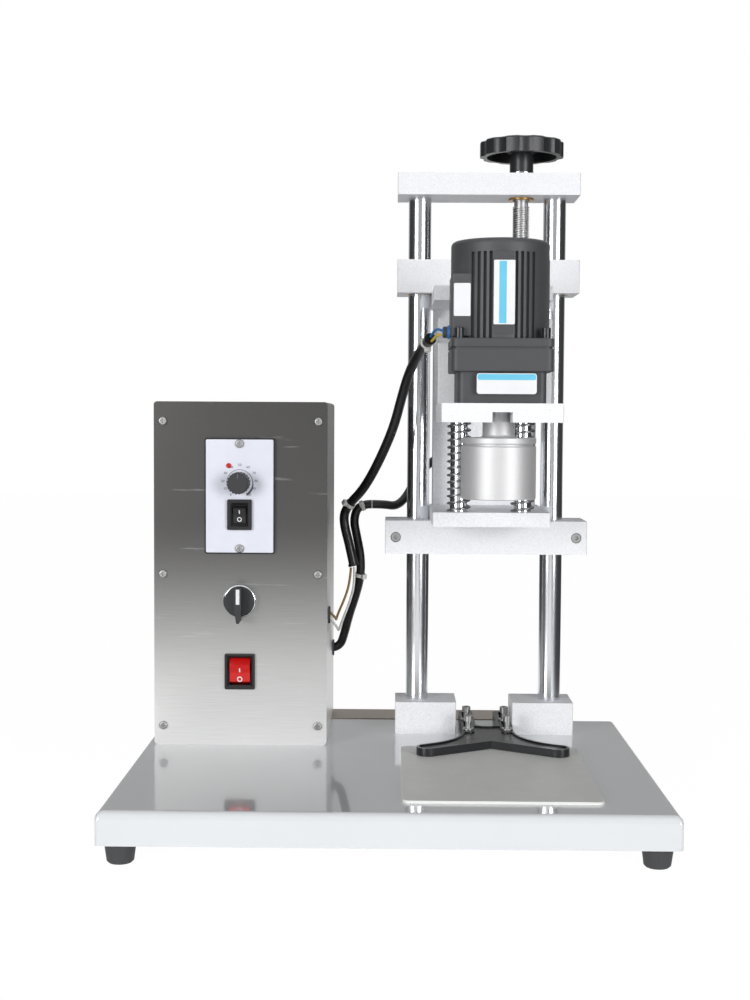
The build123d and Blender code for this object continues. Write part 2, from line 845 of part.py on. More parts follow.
def finned_side(angle):
    """Two groups of fins beside the flat label pad on one side of the barrel."""
    z0 = flange_top
    z1 = barrel_top - barrel_cap_height
    face_y = -barrel_diameter / 2
    cutter = None
    first = label_pad_width / 2 + fin_width
    groove = fin_pitch - fin_width
    for side in (-1, 1):
        for index in range(fin_count):
            x = side * (first + index * fin_pitch + groove / 2 - fin_width)
            depth = sqrt((barrel_diameter / 2) ** 2 - x ** 2)
            trench = slab(x - groove / 2, x + groove / 2, -depth - 1, -depth + fin_height, z0, z1)
            cutter = trench if cutter is None else cutter + trench
    pad = slab(-label_pad_width / 2, label_pad_width / 2, face_y - 1, face_y + 0.8, z0 + 3, z1)
    return Rot(Z=angle) * (cutter + pad)


def motor_body():
    """The motor: a square flange, a finned barrel and a plain cap."""
    flange = square_prism(gear_upper_side, gear_corner_radius, flange_bottom, flange_top, 0, 0)
    flange = fillet(flange.edges().group_by(Axis.Z)[-1], 1.0)
    barrel = rod(barrel_diameter, flange_top, barrel_top, 0, 0)
    barrel = fillet(barrel.edges().group_by(Axis.Z)[-1], barrel_cap_radius)
    barrel -= finned_side(0)
    barrel -= finned_side(180)
    body = flange + barrel
    for sx, sy in motor_corners():
        x = sx * motor_bolt_reach
        y = sy * motor_bolt_reach
        body -= rod(motor_bolt_head_diameter + 1.0, flange_top, flange_top + motor_bolt_head_height + 1, x, y)
        body -= rod(motor_bolt_diameter + 2 * running_clearance, flange_bottom, flange_top, x, y)
    return Pos(column_x, cap_y, 0) * body


def motor_corners():
    """Signs of the four corners of the flange."""
    return [(sx, sy) for sx in (-1, 1) for sy in (-1, 1)]


def motor_bolts():
    """The four cap screws on the flange's corners."""
    length = flange_height - 0.2
    screw = cap_screw(motor_bolt_diameter, length, motor_bolt_head_diameter, motor_bolt_head_height, 3.0)
    bolts = []
    for sx, sy in motor_corners():
        place = Pos(column_x + sx * motor_bolt_reach, cap_y + sy * motor_bolt_reach, flange_top)
        bolts.append(place * screw)
    return bolts


def terminal_cover():
    """The moulded cover on the barrel's left, with the lead gland."""
    left = column_x - barrel_diameter / 2 - 0.6
    y0 = cap_y - terminal_front
    z0 = flange_top + 2.0
    cover = slab(left, left + terminal_width, y0, y0 + terminal_depth, z0, z0 + terminal_height)
    cover = fillet(cover.edges().group_by(Axis.X)[0], 2.0)
    cover += rod_x_axis(lead_gland_diameter, left - lead_gland_length, left + 1.0, lead_gland_y, lead_gland_z)
    cover -= rod(barrel_diameter + 2 * seat_clearance, z0 - 1, z0 + terminal_height + 1, column_x, cap_y)
    for sx, sy in motor_corners():
        x = column_x + sx * motor_bolt_reach
        y = cap_y + sy * motor_bolt_reach
        cover -= rod(motor_bolt_head_diameter + 1.0, z0, flange_top + motor_bolt_head_height + 1, x, y)
    return cover


def output_shaft():
    """The gear case's output shaft."""
    return rod(shaft_diameter, head_top - shaft_drop, head_top + shaft_engagement, column_x, cap_y)


def drive_hub():
    """The hub and disc that the output shaft turns."""
    r_hub = hub_diameter / 2
    r_disc = disc_diameter / 2
    profile = [
        (0, clutch_top),
        (groove_diameter / 2, clutch_top),
        (groove_diameter / 2, disc_bottom),
        (r_disc - 0.5, disc_bottom),
        (r_disc, disc_bottom + 0.5),
        (r_disc, hub_bottom - 0.5),
        (r_disc - 0.5, hub_bottom),
        (r_hub, hub_bottom),
        (r_hub, hub_top - 0.8),
        (r_hub - 0.8, hub_top),
        (0, hub_top),
    ]
    hub = turned(profile, column_x, cap_y)
    inner_edges = hub.edges().filter_by(GeomType.CIRCLE)
    foot = [e for e in inner_edges if abs(e.center().Z - hub_bottom) < 0.01 and abs(e.radius - r_hub) < 0.01]
    hub = fillet(foot, hub_fillet)
    shaft_end = head_top - shaft_drop - 0.2
    return hub - rod(shaft_diameter + 2 * seat_clearance, shaft_end, hub_top, column_x, cap_y)


def clutch_body():
    """The capping chuck's aluminium body, open below."""
    body = rod(disc_diameter, clutch_bottom, clutch_top, column_x, cap_y)
    body = chamfer(body.edges(), 0.6)
    return body - rod(mouth_diameter, clutch_bottom, clutch_bottom + mouth_depth, column_x, cap_y)


def cap_liner():
    """The rubber cone inside the chuck that grips the cap."""
    outer = mouth_diameter / 2 - seat_clearance
    z1 = clutch_bottom + mouth_depth
    z0 = z1 - liner_thickness
    profile = [
        (liner_mouth_diameter / 2, z0),
        (outer, z0),
        (outer, z1),
        (liner_throat_diameter / 2, z1),
        (liner_throat_diameter / 2, z1 - 4.0),
    ]
    return turned(profile, column_x, cap_y)


def locator_outline():
    """Plan of the locator about its own centre line: two arms and two tails."""
    slope = radians(locator_angle)
    along = Vector(cos(slope), -sin(slope))
    back = Vector(sin(slope), cos(slope))
    half = locator_arm_width / 2
    apex = Vector(0, locator_apex_y)
    root = apex + back * half
    tip_x = locator_half_span - half
    tip = root + along * ((tip_x - root.X) / along.X)
    front = tip - back * half
    rear = tip + back * half
    side = locator_tail_width / 2
    waist = rear - along * ((rear.X - side) / along.X)
    points = [
        (apex.X, apex.Y),
        (front.X, front.Y),
        (rear.X, rear.Y),
        (waist.X, waist.Y),
        (side, locator_tail_end),
        (locator_tail_gap / 2, locator_tail_end),
        (locator_tail_gap / 2, locator_gap_front),
    ]
    mirrored = [(-x, y) for x, y in reversed(points[1:])]
    face = make_face(Polyline(*points, *mirrored, close=True))
    for tip_side in (-1, 1):
        face += Pos(tip_side * tip.X, tip.Y) * Circle(half)
    flanks = [v for v in face.vertices() if abs(abs(v.X) - side) < 0.01 and abs(v.Y - waist.Y) < 0.01]
    face = fillet(flanks, locator_flank_radius)
    ends = [v for v in face.vertices() if abs(v.Y - locator_tail_end) < 0.01]
    face = fillet(ends, 4.0)
    roots = [v for v in face.vertices() if abs(v.Y - locator_gap_front) < 0.01]
    face = fillet(roots, locator_tail_gap / 2 - 1.0)
    return face


def locator_slots(width):
    """The two long slots, or their bosses at a greater width."""
    length = slot_back - slot_front
    slots = Sketch()
    for side in (-1, 1):
        center = Pos(side * slot_spacing / 2, (slot_front + slot_back) / 2)
        slots += center * Rot(Z=90) * SlotCenterToCenter(length, width)
    return slots


def bottle_locator():
    """The black bottle locator: a recessed casting with slotted tails."""
    plan = locator_outline()
    body = extrude(Plane.XY.offset(locator_bottom) * plan, locator_thickness)
    foot_plan = plan & Pos(0, (locator_foot_front + locator_tail_end) / 2) * Rectangle(
        locator_tail_width, locator_tail_end - locator_foot_front)
    body += extrude(Plane.XY.offset(base_top) * foot_plan, locator_bottom - base_top)
    recess = offset(plan, -locator_rim) - locator_slots(slot_boss_width)
    reach = locator_gap_front - locator_apex_y + locator_half_span
    recess &= Pos(0, locator_gap_front - reach / 2) * Rectangle(2 * locator_half_span, reach)
    body -= extrude(Plane.XY.offset(locator_top - locator_recess) * recess, locator_recess)
    slots = locator_slots(slot_width)
    body -= extrude(Plane.XY.offset(base_top) * slots, locator_top - base_top)
    return Pos(locator_x, 0, 0) * body


def locator_screw_places():
    """Centres of the locator's four screws."""
    rows = (locator_screw_front, locator_screw_front + locator_screw_pitch)
    return [(locator_x + side * slot_spacing / 2, y) for side in (-1, 1) for y in rows]


def locator_screws():
    """Four cap screws that stand up through the slots."""
    seat = locator_top + locator_screw_stand - locator_head_height
    length = seat - base_top + locator_screw_depth - 1.0
    screw = cap_screw(locator_screw_diameter, length, locator_head_diameter, locator_head_height, 4.0)
    return [Pos(x, y, seat) * screw for x, y in locator_screw_places()]


def locator_washers():
    """A washer on the locator under each screw."""
    washers = []
    z0 = locator_top + washer_clearance
    bore = locator_screw_diameter + 2 * running_clearance
    for x, y in locator_screw_places():
        ring = rod(washer_diameter, z0, z0 + washer_thickness, x, y)
        washers.append(ring - rod(bore, z0, z0 + washer_thickness, x, y))
    return washers


def box_shell():
    """The folded stainless box, open at the front behind its panel."""
    shell = slab(box_left, box_right, panel_back, box_back, box_bottom, box_top)
    shell = fillet(shell.edges().filter_by(Axis.Y), box_corner_radius)
    inner = slab(
        box_left + box_wall, box_right - box_wall,
        panel_back + box_wall, box_back - box_wall,
        box_bottom + box_wall, box_top - box_wall)
    mouth = slab(
        box_left + panel_return, box_right - panel_return,
        panel_back - 1, panel_back + 2 * box_wall,
        box_bottom + panel_return, box_top - panel_return)
    shell -= inner
    shell -= mouth
    for x, z in panel_screw_places():
        bore = panel_screw_diameter + 2 * running_clearance
        shell -= rod_y_axis(bore, panel_back - 1, panel_back + 2 * box_wall, x, z)
    bore = box_gland_diameter - 2 * box_gland_flange
    for y, z in box_gland_places():
        shell -= rod_x_axis(bore, box_right - 2 * box_wall, box_right + 1, y, z)
    return shell


def box_gland_places():
    """Y and Z of the two grommets on the box's right side."""
    return [(branch_gland_y, branch_gland_z), (wire_gland_y, wire_gland_z)]


def panel_screw_places():
    """Centres of the front panel's six screws."""
    columns = (box_left + panel_screw_inset_x, box_right - panel_screw_inset_x)
    rows = (box_bottom + panel_screw_inset_z, (box_bottom + box_top) / 2, box_top - panel_screw_inset_z)
    return [(x, z) for x in columns for z in rows]


def speed_screw_places():
    """Centres of the speed unit's two screws."""
    return [(controls_x, speed_z + side * speed_screw_pitch / 2) for side in (-1, 1)]


def front_panel():
    """The front panel with its openings for the controls."""
    panel = slab(box_left, box_right, box_front, panel_back, box_bottom, box_top)
    panel = fillet(panel.edges().filter_by(Axis.Y), box_corner_radius)
    width = speed_unit_body_width + 1.0
    height = speed_unit_body_height + 1.0
    panel -= slab(
        controls_x - width / 2, controls_x + width / 2, box_front - 1, panel_back + 1,
        speed_z - height / 2, speed_z + height / 2)
    panel -= rod_y_axis(selector_body_diameter + 0.6, box_front - 1, panel_back + 1, controls_x, selector_z)
    width, height = switch_body(power_frame_width, power_rocker_radius)
    panel -= slab(
        controls_x - width / 2 - 0.2, controls_x + width / 2 + 0.2, box_front - 1, panel_back + 1,
        power_z - height / 2 - 0.2, power_z + height / 2 + 0.2)
    for x, z in panel_screw_places() + speed_screw_places():
        bore = panel_screw_diameter + 2 * running_clearance
        panel -= rod_y_axis(bore, box_front - 1, panel_back + 1, x, z)
    return panel


def panel_screws():
    """Cross-recessed pan-head screws of the panel and the speed unit."""
    screw = pan_screw(panel_screw_diameter, panel_screw_length, panel_head_diameter, panel_head_height)
    screws = [Pos(x, box_front, z) * Rot(X=90) * screw for x, z in panel_screw_places()]
    screws += [Pos(x, speed_face, z) * Rot(X=90) * screw for x, z in speed_screw_places()]
    return screws


def switch_body(frame_width, rocker_radius):
    """Width and height of a switch body behind its flange."""
    return frame_width - 5.0, 2 * (rocker_radius + air_gap + switch_wall)


def speed_unit():
    """The speed controller: a face plate on its body."""
    plate = slab(
        controls_x - speed_unit_width / 2, controls_x + speed_unit_width / 2, speed_face, box_front,
        speed_z - speed_unit_height / 2, speed_z + speed_unit_height / 2)
    plate = fillet(plate.edges().filter_by(Axis.Y), 2.0)
    plate = chamfer(plate.edges().group_by(Axis.Y)[0], 0.8)
    body = slab(
        controls_x - speed_unit_body_width / 2, controls_x + speed_unit_body_width / 2,
        box_front, box_front + speed_unit_body_depth,
        speed_z - speed_unit_body_height / 2, speed_z + speed_unit_body_height / 2)
    unit = plate + body
    bore = knob_shaft_diameter + 2 * running_clearance
    bore_end = speed_face + knob_shaft_length + 1.0
    unit -= rod_y_axis(bore, speed_face - 1, bore_end, controls_x, knob_z)
    lamp_place = (controls_x + lamp_offset_x, speed_z + lamp_offset_z)
    unit -= rod_y_axis(lamp_diameter + 2 * seat_clearance, speed_face - 1, box_front + 2, *lamp_place)
    width, height = switch_body(stop_frame_width, stop_rocker_radius)
    unit -= slab(
        controls_x - width / 2 - seat_clearance, controls_x + width / 2 + seat_clearance,
        speed_face - 1, speed_face + switch_body_depth + 0.5,
        stop_z - height / 2 - seat_clearance, stop_z + height / 2 + seat_clearance)
    for x, z in speed_screw_places():
        bore = panel_screw_diameter + 2 * running_clearance
        unit -= rod_y_axis(bore, speed_face - 1, speed_face + panel_screw_length + 1, x, z)
    return unit


def speed_lamp():
    """The red pilot lamp, domed in front."""
    x = controls_x + lamp_offset_x
    z = speed_z + lamp_offset_z
    lamp = rod_y_axis(lamp_diameter, speed_face - lamp_stand, box_front + 1.8, x, z)
    return fillet(lamp.edges().group_by(Axis.Y)[0], 1.4)


def speed_knob():
    """The fluted knob of the speed controller on its shaft."""
    flutes = Circle(knob_diameter / 2)
    for index in range(knob_flutes):
        angle = radians(360 / knob_flutes * index)
        reach = knob_diameter / 2 + 0.35
        flutes -= Pos(reach * cos(angle), reach * sin(angle)) * Circle(1.0)
    grip = extrude(flutes, knob_length - knob_front_step)
    cap = Pos(0, 0, knob_length / 2) * Cylinder(knob_diameter / 2 - knob_front_step, knob_length)
    shaft = Pos(0, 0, -knob_shaft_length / 2) * Cylinder(knob_shaft_diameter / 2, knob_shaft_length)
    knob = grip + cap
    knob -= Pos(0, knob_diameter / 2 - 2.5, knob_length) * Box(1.0, 4.0, 0.8)
    return Pos(controls_x, speed_face - air_gap, knob_z) * Rot(X=90) * (knob + shaft)


def selector_bezel():
    """The selector's chromed ring and its body behind the panel."""
    ring = Pos(0, 0, selector_ring_height / 2) * Cylinder(selector_ring_diameter / 2, selector_ring_height)
    ring = fillet(ring.edges().group_by(Axis.Z)[-1], 1.5)
    ring -= rod(selector_bore, selector_recess_floor, selector_ring_height, 0, 0)
    body = Pos(0, 0, -selector_body_length / 2) * Cylinder(selector_body_diameter / 2, selector_body_length)
    bezel = ring + body
    bore = selector_shaft_diameter + 2 * running_clearance
    bezel -= rod(bore, -selector_shaft_length, selector_ring_height, 0, 0)
    return Pos(controls_x, box_front, selector_z) * Rot(X=90) * bezel


def selector_knob():
    """The selector's black knob: a disc in front of the ring and a pointed grip."""
    dial = rod(selector_knob_diameter, 0, selector_knob_height, 0, 0)
    dial = fillet(dial.edges().group_by(Axis.Z)[-1], 1.2)
    half = selector_grip_width / 2
    top = selector_knob_diameter / 2 - 0.5
    point = Pos(0, selector_grip_point + selector_point_radius) * Circle(selector_point_radius)
    grip_plan = make_face(Polyline(
        (-half, top),
        (half, top),
        (half, selector_grip_shoulder),
        (selector_point_radius, selector_grip_point + selector_point_radius),
        (-selector_point_radius, selector_grip_point + selector_point_radius),
        (-half, selector_grip_shoulder),
        close=True)) + point
    grip = extrude(grip_plan, selector_grip_height)
    neck = rod(selector_neck_diameter, selector_recess_floor - selector_ring_height, 0, 0, 0)
    shaft = rod(selector_shaft_diameter, -selector_shaft_length, 0, 0, 0)
    knob = dial + grip + neck + shaft
    knob_base = box_front - selector_ring_height - air_gap
    return Pos(controls_x, knob_base, selector_z) * Rot(X=90) * knob


def switch_frame(face_y, z, width, height, rocker_width, rocker_radius):
    """A rocker switch's bevelled frame and its body."""
    opening = (rocker_width + 2 * air_gap, 2 * (rocker_radius + air_gap))
    outline = RectangleRounded(width, height, 1.2)
    flange = extrude(outline, switch_flange)
    bevel = loft([
        Plane.XY.offset(0.6) * Rectangle(*opening),
        Plane.XY.offset(switch_flange) * Rectangle(opening[0] + 4.2, opening[1] + 4.2),
    ])
    body_width, body_height = switch_body(width, rocker_radius)
    body = Pos(0, 0, -switch_body_depth / 2) * Box(body_width, body_height, switch_body_depth)
    hollow = rocker_radius + 3.0
    pocket = Pos(0, 0, switch_flange / 2 - hollow / 2) * Box(*opening, hollow + switch_flange)
    frame = flange - bevel + body - pocket
    return Pos(controls_x, face_y, z) * Rot(X=90) * frame


def rocker(face_y, z, width, radius, ridge, pivot_drop):
    """A rocker with sloped ends and a shallow valley, its upper end standing out."""
    lean = tan(radians(rocker_tilt))
    crown = rocker_proud + pivot_drop
    ridge_height = crown + ridge * lean
    reach = radius + 1.0
    end_height = ridge_height - (reach - ridge) * rocker_end_slope
    bottom = -radius / 2
    wedge = make_face(Polyline(
        (-reach, bottom),
        (reach, bottom),
        (reach, end_height),
        (ridge, ridge_height),
        (0, crown),
        (-ridge, ridge_height),
        (-reach, end_height),
        close=True))
    profile = wedge & Circle(radius)
    paddle = extrude(Plane.YZ * profile, width / 2, both=True)
    return Pos(controls_x, face_y + pivot_drop, z) * Rot(X=90) * Rot(X=rocker_tilt) * paddle


def box_glands():
    """The two grommets on the right side of the box."""
    glands = []
    for y, z in box_gland_places():
        throat = box_gland_diameter - 2 * box_gland_flange - 2 * seat_clearance
        plug = rod_x_axis(throat, box_right - box_gland_length, box_right, y, z)
        rim = rod_x_axis(box_gland_diameter, box_right, box_right + box_gland_flange, y, z)
        glands.append(plug + rim)
    return glands


def carriage_gland():
    """The grommet on the back of the carriage."""
    x, y, z = carriage_branch_route[-1]
    ring = rod_y_axis(box_gland_diameter, cross_back, y, x, z)
    return fillet(ring.edges().group_by(Axis.Y)[-1], 1.0)


def all_parts():
    """Every sub-part by the name of its node."""
    return {
        "base_plate": base_plate(),
        "rubber_feet": rubber_feet(),
        "rest_pad": rest_pad(),
        "rear_ledge": rear_ledge(),
        "left_post_block": post_block(-1),
        "right_post_block": post_block(1),
        "left_post": post(post_left_x),
        "right_post": post(post_right_x),
        "top_plate": top_plate(),
        "post_screws": post_screws(),
        "thrust_bush": thrust_bush(),
        "lead_screw": lead_screw(),
        "screw_collar": screw_collar(),
        "handwheel": handwheel(),
        "upper_crossbar": upper_bar(),
        "lift_nut": lift_nut(),
        "post_bushes": post_bushes(),
        "lower_crossbar": lower_bar(),
        "clamp_screws": clamp_screws(),
        "carriage_top_plate": carriage_top_plate(),
        "spring_plate": spring_plate(),
        "carriage_back_plate": carriage_back_plate(),
        "guide_rods": guide_rods(),
        "left_spring": spring(-1),
        "right_spring": spring(1),
        "head_plate": head_plate(),
        "head_upright": head_upright(),
        "rod_bushes": rod_bushes(),
        "gear_case": gear_case(),
        "motor_body": motor_body(),
        "motor_bolts": motor_bolts(),
        "terminal_cover": terminal_cover(),
        "output_shaft": output_shaft(),
        "drive_hub": drive_hub(),
        "clutch_body": clutch_body(),
        "cap_liner": cap_liner(),
        "bottle_locator": bottle_locator(),
        "locator_screws": locator_screws(),
        "locator_washers": locator_washers(),
        "box_shell": box_shell(),
        "front_panel": front_panel(),
        "panel_screws": panel_screws(),
        "speed_unit": speed_unit(),
        "speed_lamp": speed_lamp(),
        "speed_knob": speed_knob(),
        "selector_bezel": selector_bezel(),
        "selector_knob": selector_knob(),
        "stop_switch_frame": switch_frame(
            speed_face, stop_z, stop_frame_width, stop_frame_height,
            stop_rocker_width, stop_rocker_radius),
        "stop_rocker": rocker(
            speed_face, stop_z, stop_rocker_width, stop_rocker_radius,
            stop_rocker_ridge, stop_pivot_drop),
        "power_switch_frame": switch_frame(
            box_front, power_z, power_frame_width, power_frame_height,
            power_rocker_width, power_rocker_radius),
        "power_rocker": rocker(
            box_front, power_z, power_rocker_width, power_rocker_radius,
            power_rocker_ridge, power_pivot_drop),
        "box_glands": box_glands(),
        "carriage_gland": carriage_gland(),
        "motor_sleeve": cord_tube("motor_sleeve", sleeve_route, sleeve_diameter),
        "branch_cable": cord_tube("branch_cable", branch_route, branch_diameter),
        "carriage_cable": cord_tube("carriage_cable", carriage_branch_route, branch_diameter),
        "white_wire": cord_tube("white_wire", white_wire_route, wire_diameter),
        "brown_wire": cord_tube("brown_wire", brown_wire_route, wire_diameter),
        "blue_lead": cord_tube("blue_lead", blue_lead_route, wire_diameter),
        "yellow_lead": cord_tube("yellow_lead", yellow_lead_route, wire_diameter),
    }


def write_parts():
    """Write one STEP file for each node, about the centre of the footprint."""
    os.makedirs("parts", exist_ok=True)
    to_footprint_center = Pos(0, -ledge_depth / 2, 0)
    for name, shape in all_parts().items():
        if isinstance(shape, list):
            solids = []
            for item in shape:
                solids += [to_footprint_center * solid for solid in item.solids()]
            shape = Compound(children=solids)
        else:
            shape = to_footprint_center * shape
        export_step(shape, f"parts/{name}.step")


write_parts()
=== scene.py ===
# %% [markdown]
# # A bench-top bottle capping machine
# A control box and a two-post lift stand on a painted base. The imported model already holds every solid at
# its real size. This lesson dresses it: camera, light, cords, finishes, and the small things that are finer
# than solids, such as the screw's thread, the dial's figures and the cable ties.

# %% Load the frame
import bpy
from math import cos, pi, radians, sin
from mathutils import Matrix, Vector


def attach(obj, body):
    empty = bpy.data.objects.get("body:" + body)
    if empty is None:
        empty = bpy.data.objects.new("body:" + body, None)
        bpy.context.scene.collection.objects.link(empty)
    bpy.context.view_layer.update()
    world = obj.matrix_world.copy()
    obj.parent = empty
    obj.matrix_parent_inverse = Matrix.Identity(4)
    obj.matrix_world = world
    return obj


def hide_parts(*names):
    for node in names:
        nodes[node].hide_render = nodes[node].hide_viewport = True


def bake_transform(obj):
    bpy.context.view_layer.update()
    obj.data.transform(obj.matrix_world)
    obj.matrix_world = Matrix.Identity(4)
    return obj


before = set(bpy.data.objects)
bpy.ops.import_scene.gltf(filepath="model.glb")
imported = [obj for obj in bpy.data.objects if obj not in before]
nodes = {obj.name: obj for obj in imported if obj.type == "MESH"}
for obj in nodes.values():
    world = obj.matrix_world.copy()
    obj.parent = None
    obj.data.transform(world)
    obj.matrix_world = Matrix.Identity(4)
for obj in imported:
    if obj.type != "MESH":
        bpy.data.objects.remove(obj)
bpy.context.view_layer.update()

# %% [markdown]
# Every place below is written in millimetres. X runs to the right, Z up, and Y to the back, counted from
# the middle of the painted base, as the drawing office would do. The model's own origin lies under the
# middle of the whole footprint, half the rear ledge further back, so one function turns a drawing place
# into a scene place.

# %% Places in the scene
MM = 0.001
LEDGE_DEPTH = 43.0


def place(x, y, z):
    """A drawing place in millimetres as a scene place in metres."""
    return Vector((x, y - LEDGE_DEPTH / 2, z)) * MM


print("base centre:", place(0, 0, 0))

# %% [markdown]
# ## Camera
# The photograph was taken from 1.2 m in front of the base, at the height of the box's upper edge, with the
# camera turned down by three degrees. Building the camera's three axes from yaw, pitch and roll keeps those
# numbers readable, and a vertical sensor fit makes the lens hold for an upright picture.

# %% Camera
CAMERA_PLACE = (1.115, -1201.68, 324.07)
CAMERA_YAW = -0.01168
CAMERA_PITCH = 0.05643
CAMERA_ROLL = 0.005663
FOCAL_PIXELS = 1469.41
PICTURE_HEIGHT = 1000
SENSOR = 36.0

forward = Vector((
    sin(CAMERA_YAW) * cos(CAMERA_PITCH),
    cos(CAMERA_YAW) * cos(CAMERA_PITCH),
    -sin(CAMERA_PITCH)))
level_right = Vector((cos(CAMERA_YAW), -sin(CAMERA_YAW), 0))
level_up = level_right.cross(forward)
right = level_right * cos(CAMERA_ROLL) + level_up * sin(CAMERA_ROLL)
up = level_up * cos(CAMERA_ROLL) - level_right * sin(CAMERA_ROLL)
camera_data = bpy.data.cameras.new("camera")
camera_data.sensor_fit = "VERTICAL"
camera_data.sensor_height = SENSOR
camera_data.lens = FOCAL_PIXELS * SENSOR / PICTURE_HEIGHT
camera = bpy.data.objects.new("camera", camera_data)
axes = Matrix((right, up, -forward)).transposed().to_4x4()
camera.matrix_world = Matrix.Translation(place(*CAMERA_PLACE)) @ axes
bpy.context.scene.collection.objects.link(camera)
bpy.context.scene.camera = camera
bpy.context.scene.view_settings.view_transform = "Standard"
print("lens:", round(camera_data.lens, 2), "mm")

# %% [markdown]
# ## Shader arithmetic
# A finish is a few numbers that vary over a surface. Wrapping a node's output in a small class lets those
# numbers be added and multiplied as in any formula, and each operator leaves one Math node behind.

# %% Sockets with operators
class Amount:
    """A number that varies over a surface."""

    def __init__(self, finish, output):
        self.finish = finish
        self.output = output

    def math(self, operation, first, second):
        settings = {"operation": operation}
        return self.finish.add("ShaderNodeMath", settings, {0: first, 1: second})

    def __add__(self, other):
        return self.math("ADD", self, other)

    __radd__ = __add__

    def __rsub__(self, other):
        return self.math("SUBTRACT", other, self)

    def __mul__(self, other):
        return self.math("MULTIPLY", self, other)

    __rmul__ = __mul__


class Finish:
    """A material under construction."""

    def __init__(self, name, metallic=0.0, coat=0.0, specular=0.5):
        self.material = bpy.data.materials.new(name)
        self.material.use_nodes = True
        self.tree = self.material.node_tree
        self.shader = self.tree.nodes["Principled BSDF"]
        self.shader.inputs["Metallic"].default_value = metallic
        self.shader.inputs["Coat Weight"].default_value = coat
        self.shader.inputs["Coat Roughness"].default_value = 0.04
        self.shader.inputs["Specular IOR Level"].default_value = specular

    def feed(self, socket, value):
        if isinstance(value, Amount):
            self.tree.links.new(value.output, socket)
        elif isinstance(value, tuple) and len(value) == 3 and socket.type == "RGBA":
            socket.default_value = (*value, 1)
        else:
            socket.default_value = value

    def add(self, kind, settings=None, inputs=None, output=0):
        """Add one node: its settings first, then the values or links of its sockets."""
        node = self.tree.nodes.new(kind)
        for key, value in (settings or {}).items():
            setattr(node, key, value)
        for key, value in (inputs or {}).items():
            self.feed(node.inputs[key], value)
        return Amount(self, node.outputs[output])

    def where(self):
        """Place on the object, in metres."""
        return self.add("ShaderNodeTexCoord", output="Object")

    def axis(self, letter):
        return self.add("ShaderNodeSeparateXYZ", None, {0: self.where()}, letter)

    def stretched(self, stretch):
        """The place, each axis multiplied, so that a pattern runs finer along one axis than another."""
        return self.add("ShaderNodeMapping", None, {"Vector": self.where(), "Scale": stretch})

    def noise(self, scale, detail=3.0, stretch=(1, 1, 1)):
        inputs = {"Vector": self.stretched(stretch), "Scale": scale, "Detail": detail}
        return self.add("ShaderNodeTexNoise", None, inputs, "Fac")

    def ramp(self, amount, low, high):
        """0 below low, 1 above high, smooth between."""
        settings = {"interpolation_type": "SMOOTHSTEP", "clamp": True}
        return self.add("ShaderNodeMapRange", settings, {"Value": amount, "From Min": low, "From Max": high})

    def blend(self, amount, first, second):
        """The first colour where amount is 0, the second where it is 1."""
        settings = {"data_type": "RGBA"}
        return self.add("ShaderNodeMix", settings, {0: amount, 6: first, 7: second}, 2)

    def bump(self, height, distance):
        """Relief of a given height, in metres."""
        relief = self.add("ShaderNodeBump", None, {"Height": height, "Distance": distance})
        self.feed(self.shader.inputs["Normal"], relief)

    def wear(self, colour, roughness):
        """Set the colour and the roughness, and hand back the material."""
        self.feed(self.shader.inputs["Base Color"], colour)
        self.feed(self.shader.inputs["Roughness"], roughness)
        return self.material


print("shader classes ready")

# %% [markdown]
# ## Light
# The photograph is lit from two sides of the front at the machine's own height: front faces are nearly
# white, and the same metal seen on a top face is half as bright. Two soft lamps left and right of the
# camera do that, and a weak world fills the shadows. The camera sees the world and the floor as white. In
# reflections both are dark to the sides, which draws the dark bands on the chromed posts, and the world is
# dimmer in front and behind.

# %% World
world = bpy.data.worlds.new("studio")
bpy.context.scene.world = world
world.use_nodes = True


class Sky(Finish):
    """The world's nodes, with the same way of adding them."""

    def __init__(self, world):
        self.tree = world.node_tree
        self.shader = self.tree.nodes["Background"]


FILL_FRONT = 0.42
FILL_REST = 0.07
FRONT_LEVEL = 0.45
SIDE_LEVEL = 0.05
BACK_LEVEL = 0.42
FRONT_EDGE = (0.60, 0.85)
SIDE_EDGE = (0.62, 0.76)
sky = Sky(world)
direction = sky.add("ShaderNodeTexCoord", output="Generated")
split = {0: direction}
to_side = sky.add("ShaderNodeSeparateXYZ", None, split, "X")
to_back = sky.add("ShaderNodeSeparateXYZ", None, split, "Y")
to_top = sky.add("ShaderNodeSeparateXYZ", None, split, "Z")
to_front = to_back * -1
sideways = sky.add("ShaderNodeMath", {"operation": "ABSOLUTE"}, {0: to_side})
dark_front = sky.ramp(to_front, *FRONT_EDGE) * (1 - sky.ramp(to_top, 0.30, 0.50))
dark_sides = sky.ramp(sideways, *SIDE_EDGE) * (1 - sky.ramp(to_top, 0.55, 0.80))
dim_back = sky.ramp(to_back, *FRONT_EDGE)
reflected = (1 - dark_front * (1 - FRONT_LEVEL)) * (1 - dark_sides * (1 - SIDE_LEVEL))
reflected = reflected * (1 - dim_back * (1 - BACK_LEVEL))
is_camera = sky.add("ShaderNodeLightPath", output="Is Camera Ray")
is_glossy = sky.add("ShaderNodeLightPath", output="Is Glossy Ray")
is_through = sky.add("ShaderNodeLightPath", output="Is Transmission Ray")
seen_white = is_camera + is_through
fill = FILL_REST + (FILL_FRONT - FILL_REST) * sky.ramp(to_front, -0.1, 0.9)
plain = fill * (1 - is_glossy) * (1 - seen_white)
sky.feed(sky.shader.inputs["Strength"], seen_white + is_glossy * reflected + plain)
sky.feed(sky.shader.inputs["Color"], (1, 1, 1))
print("world fill:", FILL_FRONT, FILL_REST)

